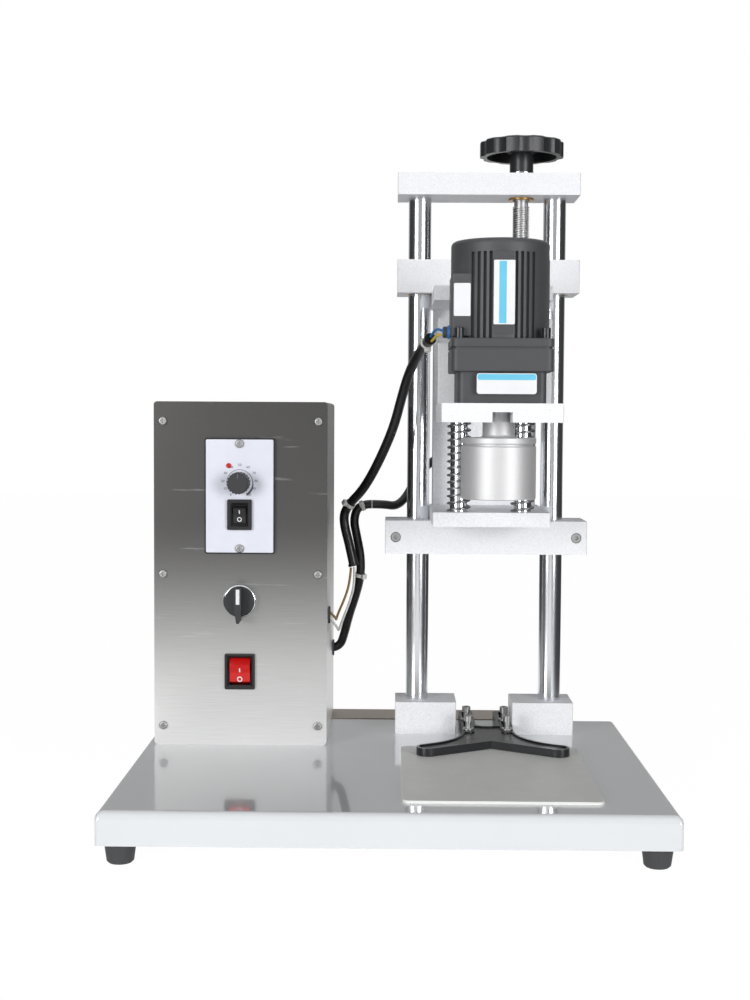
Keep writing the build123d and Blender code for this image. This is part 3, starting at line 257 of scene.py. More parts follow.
# %% Lamps
LAMPS = {
    "left key": ((-1500, -1900, 520), 0.9, 28),
    "right key": ((1500, -1900, 520), 0.9, 26),
}
AIM = place(0, 0, 240)
for name, (spot, size, power) in LAMPS.items():
    lamp = bpy.data.lights.new(name, "AREA")
    lamp.size = size
    lamp.energy = power
    holder = bpy.data.objects.new(name, lamp)
    holder.location = place(*spot)
    holder.rotation_euler = (AIM - holder.location).to_track_quat("-Z", "Y").to_euler()
    bpy.context.scene.collection.objects.link(holder)
print("lamps:", list(LAMPS))

# %% Floor
FLOOR_RADIUS = 5.0
SWEEP = (0.30, 0.60)
GLOW = 1.05
SEEN_SHARE = 0.93
MIRRORED_SHARE = 0.9
GLOOM_COLOUR = (0.03, 0.03, 0.035)
floor_finish = Finish("floor")
floor_finish.wear((0.86, 0.86, 0.86), 0.6)
seen = floor_finish.add("ShaderNodeLightPath", output="Is Camera Ray")
mirrored = floor_finish.add("ShaderNodeLightPath", output="Is Glossy Ray")
from_middle = floor_finish.add("ShaderNodeMath", {"operation": "ABSOLUTE"}, {0: floor_finish.axis("X")})
sweep = 1 - floor_finish.ramp(from_middle, *SWEEP)
glow = floor_finish.add("ShaderNodeEmission", None, {"Color": (1, 1, 1), "Strength": GLOW})
share = seen * SEEN_SHARE + mirrored * sweep * MIRRORED_SHARE
surface = floor_finish.add("ShaderNodeMixShader", None, {
    0: share, 1: Amount(floor_finish, floor_finish.shader.outputs[0]), 2: glow})
gloom = floor_finish.add("ShaderNodeEmission", None, {"Color": GLOOM_COLOUR, "Strength": 1.0})
surface = floor_finish.add("ShaderNodeMixShader", None, {
    0: mirrored * (1 - sweep) * MIRRORED_SHARE, 1: surface, 2: gloom})
floor_finish.feed(floor_finish.tree.nodes["Material Output"].inputs["Surface"], surface)
bpy.ops.object.select_all(action="DESELECT")
bpy.ops.mesh.primitive_circle_add(vertices=96, radius=FLOOR_RADIUS, fill_type="NGON")
floor = bpy.context.object
floor.name = "floor"
floor.data.materials.append(floor_finish.material)
print("floor:", floor.name)

# %% [markdown]
# ## Finishes
# Few finishes cover the machine: gloss enamel, bead-blasted aluminium, ground and chromed steel, brushed
# stainless sheet, satin paint on the gearmotor, moulded plastics and rubber. Each is a short function of
# colour and grain, because the same grain at another scale makes another metal.

# %% Enamel, blasted metal and polished metal
def enamel(name, colour, roughness=0.16, coat=0.6):
    """Sprayed gloss paint: a faint orange peel and slow changes of tone."""
    paint = Finish(name, coat=coat)
    tone = paint.noise(9.0, 2.0)
    shade = tuple(channel * 0.95 for channel in colour)
    paint.bump(paint.noise(420.0, 1.0), 0.00003)
    return paint.wear(paint.blend(tone, shade, colour), roughness + 0.05 * tone)


def blasted(name, colour, roughness=0.5, grain=2400.0, contrast=0.10, metallic=0.2):
    """Bead-blasted aluminium: a bright speckle that is also its relief."""
    metal = Finish(name, metallic=metallic, specular=0.25)
    speckle = metal.noise(grain, 2.0)
    cloud = metal.noise(35.0, 3.0)
    light = tuple(min(1.0, channel * (1 + contrast / 2)) for channel in colour)
    dark = tuple(channel * (1 - contrast) for channel in colour)
    metal.bump(speckle, 0.00005)
    tone = metal.ramp(speckle, 0.30, 0.66) * 0.85 + cloud * 0.15
    return metal.wear(metal.blend(tone, dark, light), roughness + 0.12 * speckle)


def polished(name, colour, roughness=0.08, stretch=(1, 1, 1), grain=300.0, relief=0.00001):
    """Ground, polished or plated metal with fine marks along one way."""
    metal = Finish(name, metallic=1.0)
    marks = metal.noise(grain, 3.0, stretch)
    dull = tuple(channel * 0.86 for channel in colour)
    metal.bump(marks, relief)
    return metal.wear(metal.blend(marks, dull, colour), roughness + 0.10 * marks)


print("metal finishes ready")

# %% [markdown]
# The box is a brushed stainless sheet. Its brush marks run across, so the noise is stretched along X and
# fine along Z. The sheet also carries a few long scratches, made where a second, coarser noise passes a
# high level. Its colour runs from near white at the foot to dark grey at the top: a painted reflection of
# the white base below and of the dark room in front.

# %% Brushed sheet, satin paint, plastic and rubber
def brushed_sheet(name, low, high, bottom, top):
    """Stainless sheet brushed across, with a painted reflection: paler toward the foot for the white base's
    light, and darker toward the top for the dark room in front.
    """
    sheet = Finish(name)
    brush = sheet.noise(60.0, 6.0, (0.5, 0.5, 60.0))
    scratch = sheet.ramp(sheet.noise(14.0, 6.0, (1.0, 1.0, 14.0)), 0.66, 0.72)
    # Painted reflection: pale low colour at the foot for the base's light, dark high colour at the top.
    height = sheet.ramp(sheet.axis("Z"), bottom, top)
    # The foot is also less metallic, so the lamps brighten it there, for the same painted reflection.
    foot = 1 - sheet.ramp(sheet.axis("Z"), bottom + 0.01, bottom + 0.13)
    sheet.feed(sheet.shader.inputs["Metallic"], 1 - 0.65 * foot)
    tone = sheet.blend(height, low, high)
    grained = sheet.blend(brush * 0.35, tone, (0.1, 0.1, 0.1))
    sheet.bump(brush, 0.00002)
    return sheet.wear(sheet.blend(scratch * 0.18, grained, (0.8, 0.8, 0.8)), 0.26 + 0.10 * brush)


def satin_paint(name, colour, roughness=0.42, grain=700.0):
    """Sprayed paint on a casting: fine texture, dusty in places."""
    paint = Finish(name, specular=0.45)
    grit = paint.noise(grain, 3.0)
    dust = paint.ramp(paint.noise(26.0, 5.0), 0.55, 0.80)
    pale = tuple(channel + 0.035 for channel in colour)
    paint.bump(grit, 0.00006)
    return paint.wear(paint.blend(dust * 0.6, colour, pale), roughness + 0.14 * grit)


def moulded(name, colour, roughness=0.35, grain=900.0, relief=0.00002):
    """Moulded plastic with a faint skin texture."""
    plastic = Finish(name)
    skin = plastic.noise(grain, 2.0)
    cloud = plastic.noise(60.0, 2.0)
    shade = tuple(channel * 0.90 for channel in colour)
    plastic.bump(skin, relief)
    return plastic.wear(plastic.blend(cloud, shade, colour), roughness + 0.10 * skin)


print("other finishes ready")

# %% [markdown]
# Colours are read off the photograph and turned from the screen's scale into light levels, because a shader
# adds and multiplies light, and not screen numbers.

# %% Colours and materials
def seen_colour(red, green, blue):
    """A screen colour, 0 to 255, as light levels."""
    return tuple(((channel / 255 + 0.055) / 1.055) ** 2.4 for channel in (red, green, blue))


PAINT_WHITE = enamel("white_enamel", seen_colour(226, 229, 232), 0.10, 1.0)
MAT_GREY = moulded("grey_mat", seen_colour(240, 241, 237), 0.42, 500.0, 0.00003)
ALUMINIUM = blasted("blasted_aluminium", seen_colour(239, 240, 243), 0.5, 1400.0, 0.14)
# Painted reflection: the blocks' blasted aluminium, made darker and browner for the dark room it mirrors.
ALUMINIUM_PAINTED_REFLECTION = blasted("bar_aluminium_painted_reflection", seen_colour(176, 168, 160), 0.55, 900.0, 0.2, 0.8)
ALUMINIUM_FINE = blasted("satin_aluminium", seen_colour(212, 212, 213), 0.46, 2600.0, 0.10, 0.6)
CHROME = polished("chromed_steel", seen_colour(232, 234, 238), 0.13, (6, 6, 0.1), 200.0, 0.000001)
STEEL = polished("bright_steel", seen_colour(176, 176, 176), 0.38, (1, 1, 1), 500.0)
SPRING_STEEL = polished("spring_steel", seen_colour(150, 150, 152), 0.30, (1, 1, 1), 600.0)
BRONZE = polished("bronze", seen_colour(176, 140, 86), 0.30, (1, 1, 1), 400.0)
# Painted reflection: near white at the foot for the base's light, dark grey at the top for the dark room.
STAINLESS_PAINTED_REFLECTION = brushed_sheet(
    "brushed_stainless", seen_colour(250, 250, 249), seen_colour(104, 103, 102), 0.03, 0.24)
MOTOR_GREY = satin_paint("motor_grey", seen_colour(72, 73, 76))
CAST_BLACK = satin_paint("black_casting", seen_colour(34, 35, 37), 0.24, 500.0)
WHEEL_BLACK = moulded("black_phenolic", seen_colour(48, 49, 51), 0.26, 300.0)
SWITCH_BLACK = moulded("black_switch", seen_colour(30, 30, 33), 0.30)
KNOB_BLACK = moulded("black_knob", seen_colour(44, 45, 48), 0.45)
RED = moulded("red_rocker", seen_colour(206, 22, 20), 0.18)
WHITE_PLASTIC = moulded("white_plate", seen_colour(228, 230, 242), 0.40)
RUBBER = moulded("black_rubber", seen_colour(62, 63, 65), 0.60, 400.0, 0.00005)
LINER = moulded("liner_rubber", seen_colour(150, 145, 135), 0.65, 400.0, 0.00005)
CORD_BLACK = moulded("black_sleeve", seen_colour(26, 26, 27), 0.26, 240.0, 0.0002)
WIRE_WHITE = moulded("white_wire", seen_colour(232, 232, 228), 0.40)
WIRE_BROWN = moulded("brown_wire", seen_colour(150, 118, 60), 0.40)
WIRE_BLUE = moulded("blue_wire", seen_colour(30, 120, 190), 0.40)
WIRE_YELLOW = moulded("yellow_wire", seen_colour(226, 196, 60), 0.40)
LABEL_WHITE = moulded("label_white", seen_colour(240, 241, 244), 0.35)
LABEL_CYAN = moulded("label_cyan", seen_colour(110, 200, 232), 0.35)
TIE_WHITE = moulded("tie_white", seen_colour(236, 236, 232), 0.40)
MARK_GREY = moulded("mark_grey", seen_colour(92, 94, 108), 0.5)
MARK_WHITE = moulded("mark_white", seen_colour(236, 236, 236), 0.5)
print("materials:", len(bpy.data.materials))

# %% Dress the solids
DRESS = {
    PAINT_WHITE: ["base_plate"],
    RUBBER: ["rubber_feet", "box_glands", "carriage_gland"],
    MAT_GREY: ["rest_pad"],
    ALUMINIUM_PAINTED_REFLECTION: ["rear_ledge"],
    ALUMINIUM: [
        "left_post_block", "right_post_block", "top_plate", "upper_crossbar", "lower_crossbar",
        "carriage_top_plate", "spring_plate", "carriage_back_plate", "head_plate", "head_upright"],
    ALUMINIUM_FINE: ["drive_hub", "clutch_body"],
    CHROME: ["left_post", "right_post", "guide_rods", "screw_collar", "selector_bezel"],
    STEEL: [
        "post_screws", "panel_screws", "locator_screws", "locator_washers", "clamp_screws",
        "lead_screw", "output_shaft"],
    SPRING_STEEL: ["left_spring", "right_spring"],
    BRONZE: ["thrust_bush", "lift_nut", "post_bushes", "rod_bushes"],
    STAINLESS_PAINTED_REFLECTION: ["box_shell", "front_panel"],
    MOTOR_GREY: ["gear_case", "motor_body", "terminal_cover"],
    CAST_BLACK: ["bottle_locator", "motor_bolts"],
    WHEEL_BLACK: ["handwheel"],
    SWITCH_BLACK: ["stop_switch_frame", "power_switch_frame", "stop_rocker"],
    KNOB_BLACK: ["speed_knob", "selector_knob"],
    RED: ["power_rocker", "speed_lamp"],
    WHITE_PLASTIC: ["speed_unit"],
    LINER: ["cap_liner"],
    CORD_BLACK: ["motor_sleeve", "branch_cable", "carriage_cable"],
    WIRE_WHITE: ["white_wire"],
    WIRE_BROWN: ["brown_wire"],
    WIRE_BLUE: ["blue_lead"],
    WIRE_YELLOW: ["yellow_lead"],
}
for material, names in DRESS.items():
    for name in names:
        for material_slot in nodes[name].material_slots:
            material_slot.material = material
print("dressed:", sum(len(names) for names in DRESS.values()), "of", len(nodes))

# %% [markdown]
# ## Modelling the small pieces
# The pieces that are finer than solids are modelled as by hand. A primitive is added at its size, shaped in
# edit mode, and finished with modifiers. These helpers hold the moves that repeat: pick edges by their
# direction and bevel them, push a disc up ring by ring, bend a strap to a ring, and hand the finished piece
# to a body.

# %% Picking and finishing
BASE_TOP = 41.0
COLUMN_X = 84.5
SCREW_X = 114.5
POST_LINE = 123.5
CONTROLS_X = -129.0
SPEED_FACE = 48.5
BOX_FRONT = 51.5


def only_this():
    """The piece at work."""
    return bpy.context.object


def apply_place():
    """Settle the place, turn and size of the piece at work in its mesh."""
    bpy.ops.object.transform_apply(location=True, rotation=True, scale=True)


def begin(adder, stretch=(1, 1, 1), **settings):
    """Add a primitive with nothing else selected, stretch it, and settle its place in its mesh."""
    bpy.ops.object.select_all(action="DESELECT")
    adder(**settings)
    only_this().scale = stretch
    apply_place()
    return only_this()


def pick(kind, test):
    """Go into edit mode with only those edges or faces selected that pass the test."""
    piece = only_this()
    bpy.ops.object.mode_set(mode="EDIT")
    bpy.ops.mesh.select_mode(type=kind)
    bpy.ops.mesh.select_all(action="DESELECT")
    bpy.ops.object.mode_set(mode="OBJECT")
    chosen = piece.data.edges if kind == "EDGE" else piece.data.polygons
    for part in chosen:
        part.select = bool(test(piece.data, part))
    bpy.ops.object.mode_set(mode="EDIT")


def runs_to_back(mesh, edge):
    """Whether an edge runs along Y."""
    first, second = (mesh.vertices[v].co for v in edge.vertices)
    return abs((second - first).normalized().y) > 0.999


def finish_with(kind, **settings):
    """Add one modifier, set it and apply it."""
    bpy.ops.object.modifier_add(type=kind)
    modifier = only_this().modifiers[-1]
    for key, value in settings.items():
        setattr(modifier, key, value)
    bpy.ops.object.modifier_apply(modifier=modifier.name)


def hand_over(name, material, body):
    """Name the piece, dress it, turn its faces outward, and let it ride on a body."""
    piece = only_this()
    bpy.ops.object.mode_set(mode="EDIT")
    bpy.ops.mesh.select_all(action="SELECT")
    bpy.ops.mesh.normals_make_consistent(inside=False)
    bpy.ops.object.mode_set(mode="OBJECT")
    apply_place()
    bpy.ops.object.shade_smooth_by_angle(angle=radians(35))
    piece.name = name
    piece.data.materials.clear()
    piece.data.materials.append(material)
    if body:
        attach(piece, body)
    return piece


print("modelling moves ready")

# %% Blocks, turned pieces and straps
def block(low, high, corner):
    """A block between two opposite corners, with the edges along Y rounded."""
    size = [abs(b - a) for a, b in zip(low, high)]
    middle = [(a + b) / 2 for a, b in zip(low, high)]
    begin(bpy.ops.mesh.primitive_cube_add, size=1, location=place(*middle), stretch=[s * MM for s in size])
    pick("EDGE", runs_to_back)
    bpy.ops.mesh.bevel(offset=corner * MM, segments=4, affect="EDGES")
    bpy.ops.object.mode_set(mode="OBJECT")


def soften(width):
    """Bevel every sharp edge of the piece at work."""
    finish_with("BEVEL", width=width * MM, segments=2, limit_method="ANGLE", angle_limit=radians(60))


def turned(rings, sides=48):
    """A disc pushed up ring by ring about the Z axis; each ring is a height and a radius."""
    height, radius = rings[0]
    begin(bpy.ops.mesh.primitive_circle_add, vertices=sides, radius=radius * MM, fill_type="NGON",
          location=(0, 0, height * MM))
    bpy.ops.object.mode_set(mode="EDIT")
    bpy.ops.mesh.select_all(action="SELECT")
    for next_height, next_radius in rings[1:]:
        rise = (next_height - height) * MM
        bpy.ops.mesh.extrude_region_move(TRANSFORM_OT_translate={"value": (0, 0, rise)})
        growth = next_radius / radius
        bpy.ops.transform.resize(value=(growth, growth, 1), center_override=(0, 0, next_height * MM))
        height, radius = next_height, next_radius
    bpy.ops.object.mode_set(mode="OBJECT")


def strap(radius, width, thickness, sides=32):
    """A strap bent to a ring about the Z axis: an open tube that gets a wall and soft edges."""
    begin(bpy.ops.mesh.primitive_cylinder_add, vertices=sides, radius=radius * MM, depth=width * MM,
          end_fill_type="NOTHING")
    finish_with("SOLIDIFY", thickness=thickness * MM, offset=1)
    soften(thickness * 0.25)


def stand(spot, way=(0, 0, 1)):
    """Put the piece at a place, its own Z along a direction."""
    turn = Vector(way).to_track_quat("Z", "Y").to_matrix().to_4x4()
    only_this().matrix_world = Matrix.Translation(spot) @ turn


def join_up(pieces):
    """Join meshes into one piece."""
    bpy.ops.object.select_all(action="DESELECT")
    for piece in pieces:
        piece.select_set(True)
    bpy.context.view_layer.objects.active = pieces[0]
    bpy.ops.object.join()


print("shapes ready")

# %% [markdown]
# ## Cords
# The motor's leads run in a black sleeve from beside the motor down to the box, and a second cable runs
# from the box to the back of the carriage. Each is one smooth NURBS line through chosen control points with
# a round section. The sleeve hangs between the fixed box and the moving carriage; it becomes a mesh that
# stays where it is laid and rides on no body.

# %% Cord maker
WIRE = 2.2
CABLE = 8.0
SLEEVE = 8.4


def cord_line(name, points, diameter):
    """A NURBS curve through the route, round in section."""
    curve = bpy.data.curves.new(name, "CURVE")
    curve.dimensions = "3D"
    curve.resolution_u = 10
    spline = curve.splines.new("NURBS")
    spline.points.add(len(points) - 1)
    for point, spot in zip(spline.points, points):
        point.co = (*place(*spot), 1)
    spline.order_u = 3
    spline.use_endpoint_u = True
    cord = bpy.data.objects.new(name, curve)
    bpy.context.scene.collection.objects.link(cord)
    bpy.context.view_layer.update()
    line = bpy.data.meshes.new_from_object(cord)
    path = [vertex.co.copy() for vertex in line.vertices]
    bpy.data.meshes.remove(line)
    curve.bevel_depth = diameter / 2 * MM
    curve.bevel_resolution = 5
    curve.use_fill_caps = True
    length = sum((b - a).length for a, b in zip(path, path[1:]))
    print(name, "length", round(length * 1000), "mm")
    return cord, path, length


TIE_WIDTH = 3.2
TIE_THICKNESS = 1.0
TIE_HEAD = (5.0, 3.4, 4.6)
TIE_HEAD_EDGE = 0.7
TIE_HEAD_REACH = 1.9
LIP_WIDTH = 2.4
LIP_THICKNESS = 0.8
LIP_INSET = 0.9
GRIP = 0.1


def at_point(path, near):
    """The place on a path that lies nearest to a given place, and the path's direction there."""
    index = min(range(1, len(path) - 1), key=lambda i: (path[i] - near).length)
    return path[index], (path[index + 1] - path[index - 1]).normalized()


def cable_tie(name, path, near, radius, head):
    """A cable tie pulled tight round a cord: a strap with its locking head on one side."""
    spot, way = at_point(path, place(*near))
    strap(radius, TIE_WIDTH, TIE_THICKNESS)
    stand(spot, way)
    apply_place()
    loop = only_this()
    out = Vector(head)
    out = (out - way * out.dot(way)).normalized()
    begin(bpy.ops.mesh.primitive_cube_add, size=1, stretch=[side * MM for side in TIE_HEAD])
    soften(TIE_HEAD_EDGE)
    turn = Matrix((out.cross(way), out, way)).transposed().to_4x4()
    only_this().matrix_world = Matrix.Translation(spot + out * (radius + TIE_HEAD_REACH) * MM) @ turn
    apply_place()
    join_up([loop, only_this()])
    return hand_over(name, TIE_WHITE, None)


def lip(name, path, first, radius):
    """The rolled lip at one end of a sleeve."""
    end, inward = (path[0], path[1]) if first else (path[-1], path[-2])
    way = (inward - end).normalized()
    strap(radius, LIP_WIDTH, LIP_THICKNESS)
    stand(end + way * LIP_INSET * MM, way)
    return hand_over(name, CORD_BLACK, None)


def lay_cord(name, node, points, diameter, material, body, bends=None, ties=(), lips=False):
    """Lay a cord with its ties and lips, as a curve on one body or, if bends are given, as a mesh on no
    body.
    """
    cord, path, length = cord_line(name, points, diameter)
    cord.data.materials.append(material)
    grip = diameter / 2 - GRIP
    extras = [cable_tie(f"{name}_tie_{i}", path, near, grip, head) for i, (near, head) in enumerate(ties, 1)]
    if lips:
        extras += [lip(f"{name}_lip_{i + 1}", path, i == 0, grip) for i in range(2)]
    for extra in extras:
        if bends:
            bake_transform(extra)
        else:
            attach(extra, body)
    if bends:
        bpy.ops.object.select_all(action="DESELECT")
        cord.select_set(True)
        bpy.context.view_layer.objects.active = cord
        bpy.ops.object.convert(target="MESH")
        cord = bpy.context.object
        bpy.ops.object.shade_smooth_by_angle(angle=radians(40))
        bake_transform(cord)
    else:
        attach(cord, body)
    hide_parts(node)


print("cord maker ready")

# %% Sleeve and cables
BOX_SIDE = -54.25
sleeve_route = [
    (-33.5, 132.5, 188.5), (-37.5, 133.5, 207.5), (-42.0, 134.5, 223.5), (-43.0, 134.0, 236.0),
    (-36.5, 129.5, 246.5), (-27.0, 121.0, 256.5), (-17.5, 110.5, 271.5), (-7.0, 98.5, 293.0),
    (2.5, 86.5, 316.5), (8.5, 75.5, 340.0), (14.0, 63.5, 359.5), (20.5, 47.0, 374.0),
    (26.5, 27.0, 383.5), (31.5, 4.5, 388.0)]
branch_route = [
    (BOX_SIDE + 1.0, 177.0, 106.5), (-47.0, 176.5, 108.0), (-43.0, 172.0, 120.5),
    (-38.5, 165.0, 139.0), (-32.0, 156.5, 159.0), (-27.5, 150.5, 177.5), (-27.5, 148.0, 196.0),
    (-31.0, 147.0, 213.5), (-34.5, 147.0, 230.5), (-29.0, 147.0, 244.0), (-17.5, 147.0, 244.0)]
carriage_branch_route = [
    (-17.2, 147.0, 244.0), (-6.5, 147.0, 244.0), (5.0, 151.5, 242.0), (14.0, 157.5, 250.0),
    (22.0, 161.0, 265.0), (32.0, 162.5, 279.0), (44.0, 161.0, 287.0), (52.5, 154.5, 289.0)]
lay_cord(
    "sleeve", "motor_sleeve", sleeve_route, SLEEVE, CORD_BLACK, "frame",
    ("carriage", place(-36.5, 129.5, 249), place(20.5, 47.0, 374.0)),
    [((-37.5, 130.0, 245.0), (-1, -0.6, 0.2)), ((28.5, 18.0, 386.0), (0.3, -1, -0.6))], True)
lay_cord(
    "branch", "branch_cable", branch_route, CABLE, CORD_BLACK, "frame", None,
    [((-27.0, 147.0, 244.3), (0.2, -1, 0.4)), ((-28.0, 150.5, 178.0), (0.8, -1, 0))])
lay_cord(
    "carriage_branch", "carriage_cable", carriage_branch_route, CABLE, CORD_BLACK, "frame",
    ("carriage", place(-14, 147, 244), place(48, 158, 288)))

# %% Wires and leads
white_wire_route = [
    (-33.0, 131.5, 187.4), (-32.5, 130.0, 173.0), (-36.5, 125.0, 157.0), (-43.0, 118.0, 141.0),
    (-46.0, 107.0, 132.0), (-46.5, 95.5, 137.0), (BOX_SIDE + 1.0, 85.5, 147.5)]
brown_wire_route = [
    (-36.0, 131.5, 187.0), (-37.0, 130.0, 173.0), (-41.5, 125.0, 159.0), (-47.0, 118.0, 147.0),
    (-48.5, 107.0, 142.0), (-48.0, 95.5, 145.5), (BOX_SIDE + 1.0, 84.5, 152.5)]
blue_lead_route = [
    (31.8, 2.0, 389.8), (33.5, -8.0, 392.5), (35.0, -18.0, 394.0), (36.5, -28.0, 394.0),
    (38.2, -35.5, 393.0), (41.0, -39.0, 391.8)]
yellow_lead_route = [
    (32.6, 2.0, 386.2), (34.2, -8.0, 387.8), (35.6, -18.0, 389.0), (36.9, -28.0, 389.3),
    (38.4, -35.0, 389.2), (41.0, -38.0, 389.2)]
lay_cord("white_tail", "white_wire", white_wire_route, WIRE, WIRE_WHITE, "frame")
lay_cord("brown_tail", "brown_wire", brown_wire_route, WIRE, WIRE_BROWN, "frame")
lead_bend = ("head", place(33, -6, 391), place(37, -30, 391))
lay_cord("blue_tail", "blue_lead", blue_lead_route, WIRE, WIRE_BLUE, "carriage", lead_bend)
lay_cord("yellow_tail", "yellow_lead", yellow_lead_route, WIRE, WIRE_YELLOW, "carriage", lead_bend)

# %% [markdown]
# ## The lead screw
# The lift is driven by a cut thread with two starts: ridges 2 mm apart that rise 4 mm a turn. The core is
# turned up from a disc. One ridge is a small closed trapezoid that the Screw modifier winds up the core,
# and the other is its copy, half a turn on. The ends of the windings are filled, and all parts join in one
# piece that turns with the handwheel.

# %% Lead screw
LEAD = 4.0
TIP_RADIUS = 4.8
ROOT_RADIUS = 6.2
CREST_RADIUS = 7.45
JOURNAL_RADIUS = 5.95
RIDGE_WIDTH = 1.5
RIDGE_SINK = 0.3
CREST_SHARE = 0.45
THREAD_BOTTOM = BASE_TOP + 260.0
TIP_HEIGHT = 1.4
RIDGE_START = 2.5
RIDGE_SPARE = 5
TOP_PLATE_BOTTOM = BASE_TOP + 478.0
TOP_PLATE_THICKNESS = 19.0
THRUST_FLANGE = 1.75
COLLAR_GAP = 0.3
COLLAR_THICKNESS = 3.5
COLLAR_TOP = TOP_PLATE_BOTTOM + TOP_PLATE_THICKNESS + COLLAR_GAP + COLLAR_THICKNESS
WHEEL_HEIGHT = 27.0
JOURNAL_DEPTH = 4.0
SHOULDER = TOP_PLATE_BOTTOM - THRUST_FLANGE
SHOULDER_HEIGHT = 1
JOURNAL_TOP = COLLAR_TOP + WHEEL_HEIGHT - JOURNAL_DEPTH
shoulder_foot = SHOULDER - SHOULDER_HEIGHT
turned([
    (THREAD_BOTTOM, TIP_RADIUS), (THREAD_BOTTOM + TIP_HEIGHT, ROOT_RADIUS), (shoulder_foot, ROOT_RADIUS),
    (shoulder_foot, CREST_RADIUS), (SHOULDER, CREST_RADIUS), (SHOULDER, JOURNAL_RADIUS),
    (JOURNAL_TOP, JOURNAL_RADIUS)])
core = only_this()
flank = (CREST_RADIUS - ROOT_RADIUS + RIDGE_SINK) / 2
ridge_middle = Vector((CREST_RADIUS - flank, 0, THREAD_BOTTOM + RIDGE_START)) * MM
ridge = begin(
    bpy.ops.mesh.primitive_plane_add, size=1, rotation=(pi / 2, 0, 0), location=ridge_middle,
    stretch=(2 * flank * MM, RIDGE_WIDTH * MM, 1))
pick("EDGE", lambda mesh, edge: all(mesh.vertices[v].co.x > ridge_middle.x for v in edge.vertices))
bpy.ops.transform.resize(value=(1, 1, CREST_SHARE), center_override=(0, 0, ridge_middle.z))
bpy.ops.mesh.select_all(action="SELECT")
bpy.ops.mesh.delete(type="ONLY_FACE")
bpy.ops.object.mode_set(mode="OBJECT")
turns = int((SHOULDER - THREAD_BOTTOM - RIDGE_SPARE) / LEAD)
finish_with("SCREW", axis="Z", angle=2 * pi, screw_offset=LEAD * MM, iterations=turns, steps=24,
            render_steps=24, use_normal_calculate=True)
bpy.ops.object.mode_set(mode="EDIT")
bpy.ops.mesh.select_all(action="SELECT")
bpy.ops.mesh.fill_holes(sides=4)
bpy.ops.object.mode_set(mode="OBJECT")
bpy.ops.object.duplicate()
second_ridge = only_this()
second_ridge.rotation_euler = (0, 0, pi)
apply_place()
join_up([core, ridge, second_ridge])
stand(place(SCREW_X, POST_LINE, 0))
screw = hand_over("threaded_screw", STEEL, "lift_screw")
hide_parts("lead_screw")
print("thread turns:", turns, "faces:", len(screw.data.polygons))

# %% [markdown]
# ## The springs
# The head rests on two coil springs, and it presses them together when it meets a bottle. Each is a round
# section wound by the Screw modifier, a mesh that stays where it is laid and rides on no body.

# %% Springs
WIRE_RADIUS = 1.0
COIL_RADIUS = 9.2
COIL_TURNS = 12.5
ROD_LINE = 43.5
ROD_SPACING = 54.0
COIL_STEPS = 400
SPRING_GAP = 0.1
SPRING_PLATE_TOP = 244.5
SPRING_FOOT = SPRING_PLATE_TOP + SPRING_GAP + WIRE_RADIUS
COIL_HEIGHT = 73.8


def coil_spring(name, node, side):
    """One compression spring between the spring plate and the head plate."""
    begin(bpy.ops.mesh.primitive_circle_add, vertices=10, radius=WIRE_RADIUS * MM, rotation=(pi / 2, 0, 0),
          location=(COIL_RADIUS * MM, 0, 0))
    finish_with("SCREW", axis="Z", angle=2 * pi * COIL_TURNS, screw_offset=COIL_HEIGHT * MM,
                steps=COIL_STEPS, render_steps=COIL_STEPS, use_normal_calculate=True)
    bpy.ops.object.mode_set(mode="EDIT")
    bpy.ops.mesh.select_all(action="SELECT")
    bpy.ops.mesh.fill_holes(sides=10)
    bpy.ops.object.mode_set(mode="OBJECT")
    x = COLUMN_X + side * ROD_SPACING / 2
    stand(place(x, ROD_LINE, SPRING_FOOT))
    spring = hand_over(name, SPRING_STEEL, None)
    top = SPRING_FOOT + COIL_HEIGHT
    place(x, ROD_LINE, SPRING_FOOT)
    place(x, ROD_LINE, top)
    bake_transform(spring)
    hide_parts(node)


coil_spring("left_coil", "left_spring", -1)
coil_spring("right_coil", "right_spring", 1)
print("springs ready")

# %% [markdown]
# ## Labels on the gearmotor
# The real motor carries printed labels. Words and makers' signs stay off, so each is a bare plastic foil, a
# thin rounded block. Two of them have a plain band of colour, a second block that stands a hair prouder.

# %% Motor and gear case labels
MOTOR_PAD = -83.8
GEAR_FRONT = -83.5
COVER_FRONT = -74.5
FOIL = 0.25
BAND = 0.34
SUNK = 0.2


def foil(name, left, right, low, high, face, corner):
    """A bare white foil on a face of the gearmotor."""
    block((left, face - FOIL, low), (right, face + SUNK, high), corner)
    hand_over(name, LABEL_WHITE, "head")


def colour_band(name, left, right, low, high, face, corner):
    """The plain band of colour on a foil."""
    block((left, face - BAND, low), (right, face, high), corner)
    hand_over(name, LABEL_CYAN, "head")


foil("motor_label", 76.9, 93.0, 394.6, 443.0, MOTOR_PAD, 0.8)
colour_band("motor_label_band", 81.0, 86.6, 395.4, 442.2, MOTOR_PAD, 0.3)
foil("gear_label", 64.7, 110.2, 342.0, 357.6, GEAR_FRONT, 2.0)
colour_band("gear_label_band", 65.2, 109.7, 352.6, 357.1, GEAR_FRONT, 1.6)
foil("cover_label", 47.2, 59.9, 401.4, 426.3, COVER_FRONT, 0.8)
print("labels ready")

# %% [markdown]
# ## Speed unit
# The white face plate sits in a thin black frame, and round the knob there is a printed scale: a fine arc
# that swells to a crescent where the speed is highest, with plain figures outside it. The figures are text
# turned into a mesh, a tenth of a millimetre thick, so they stay crisp at any distance.

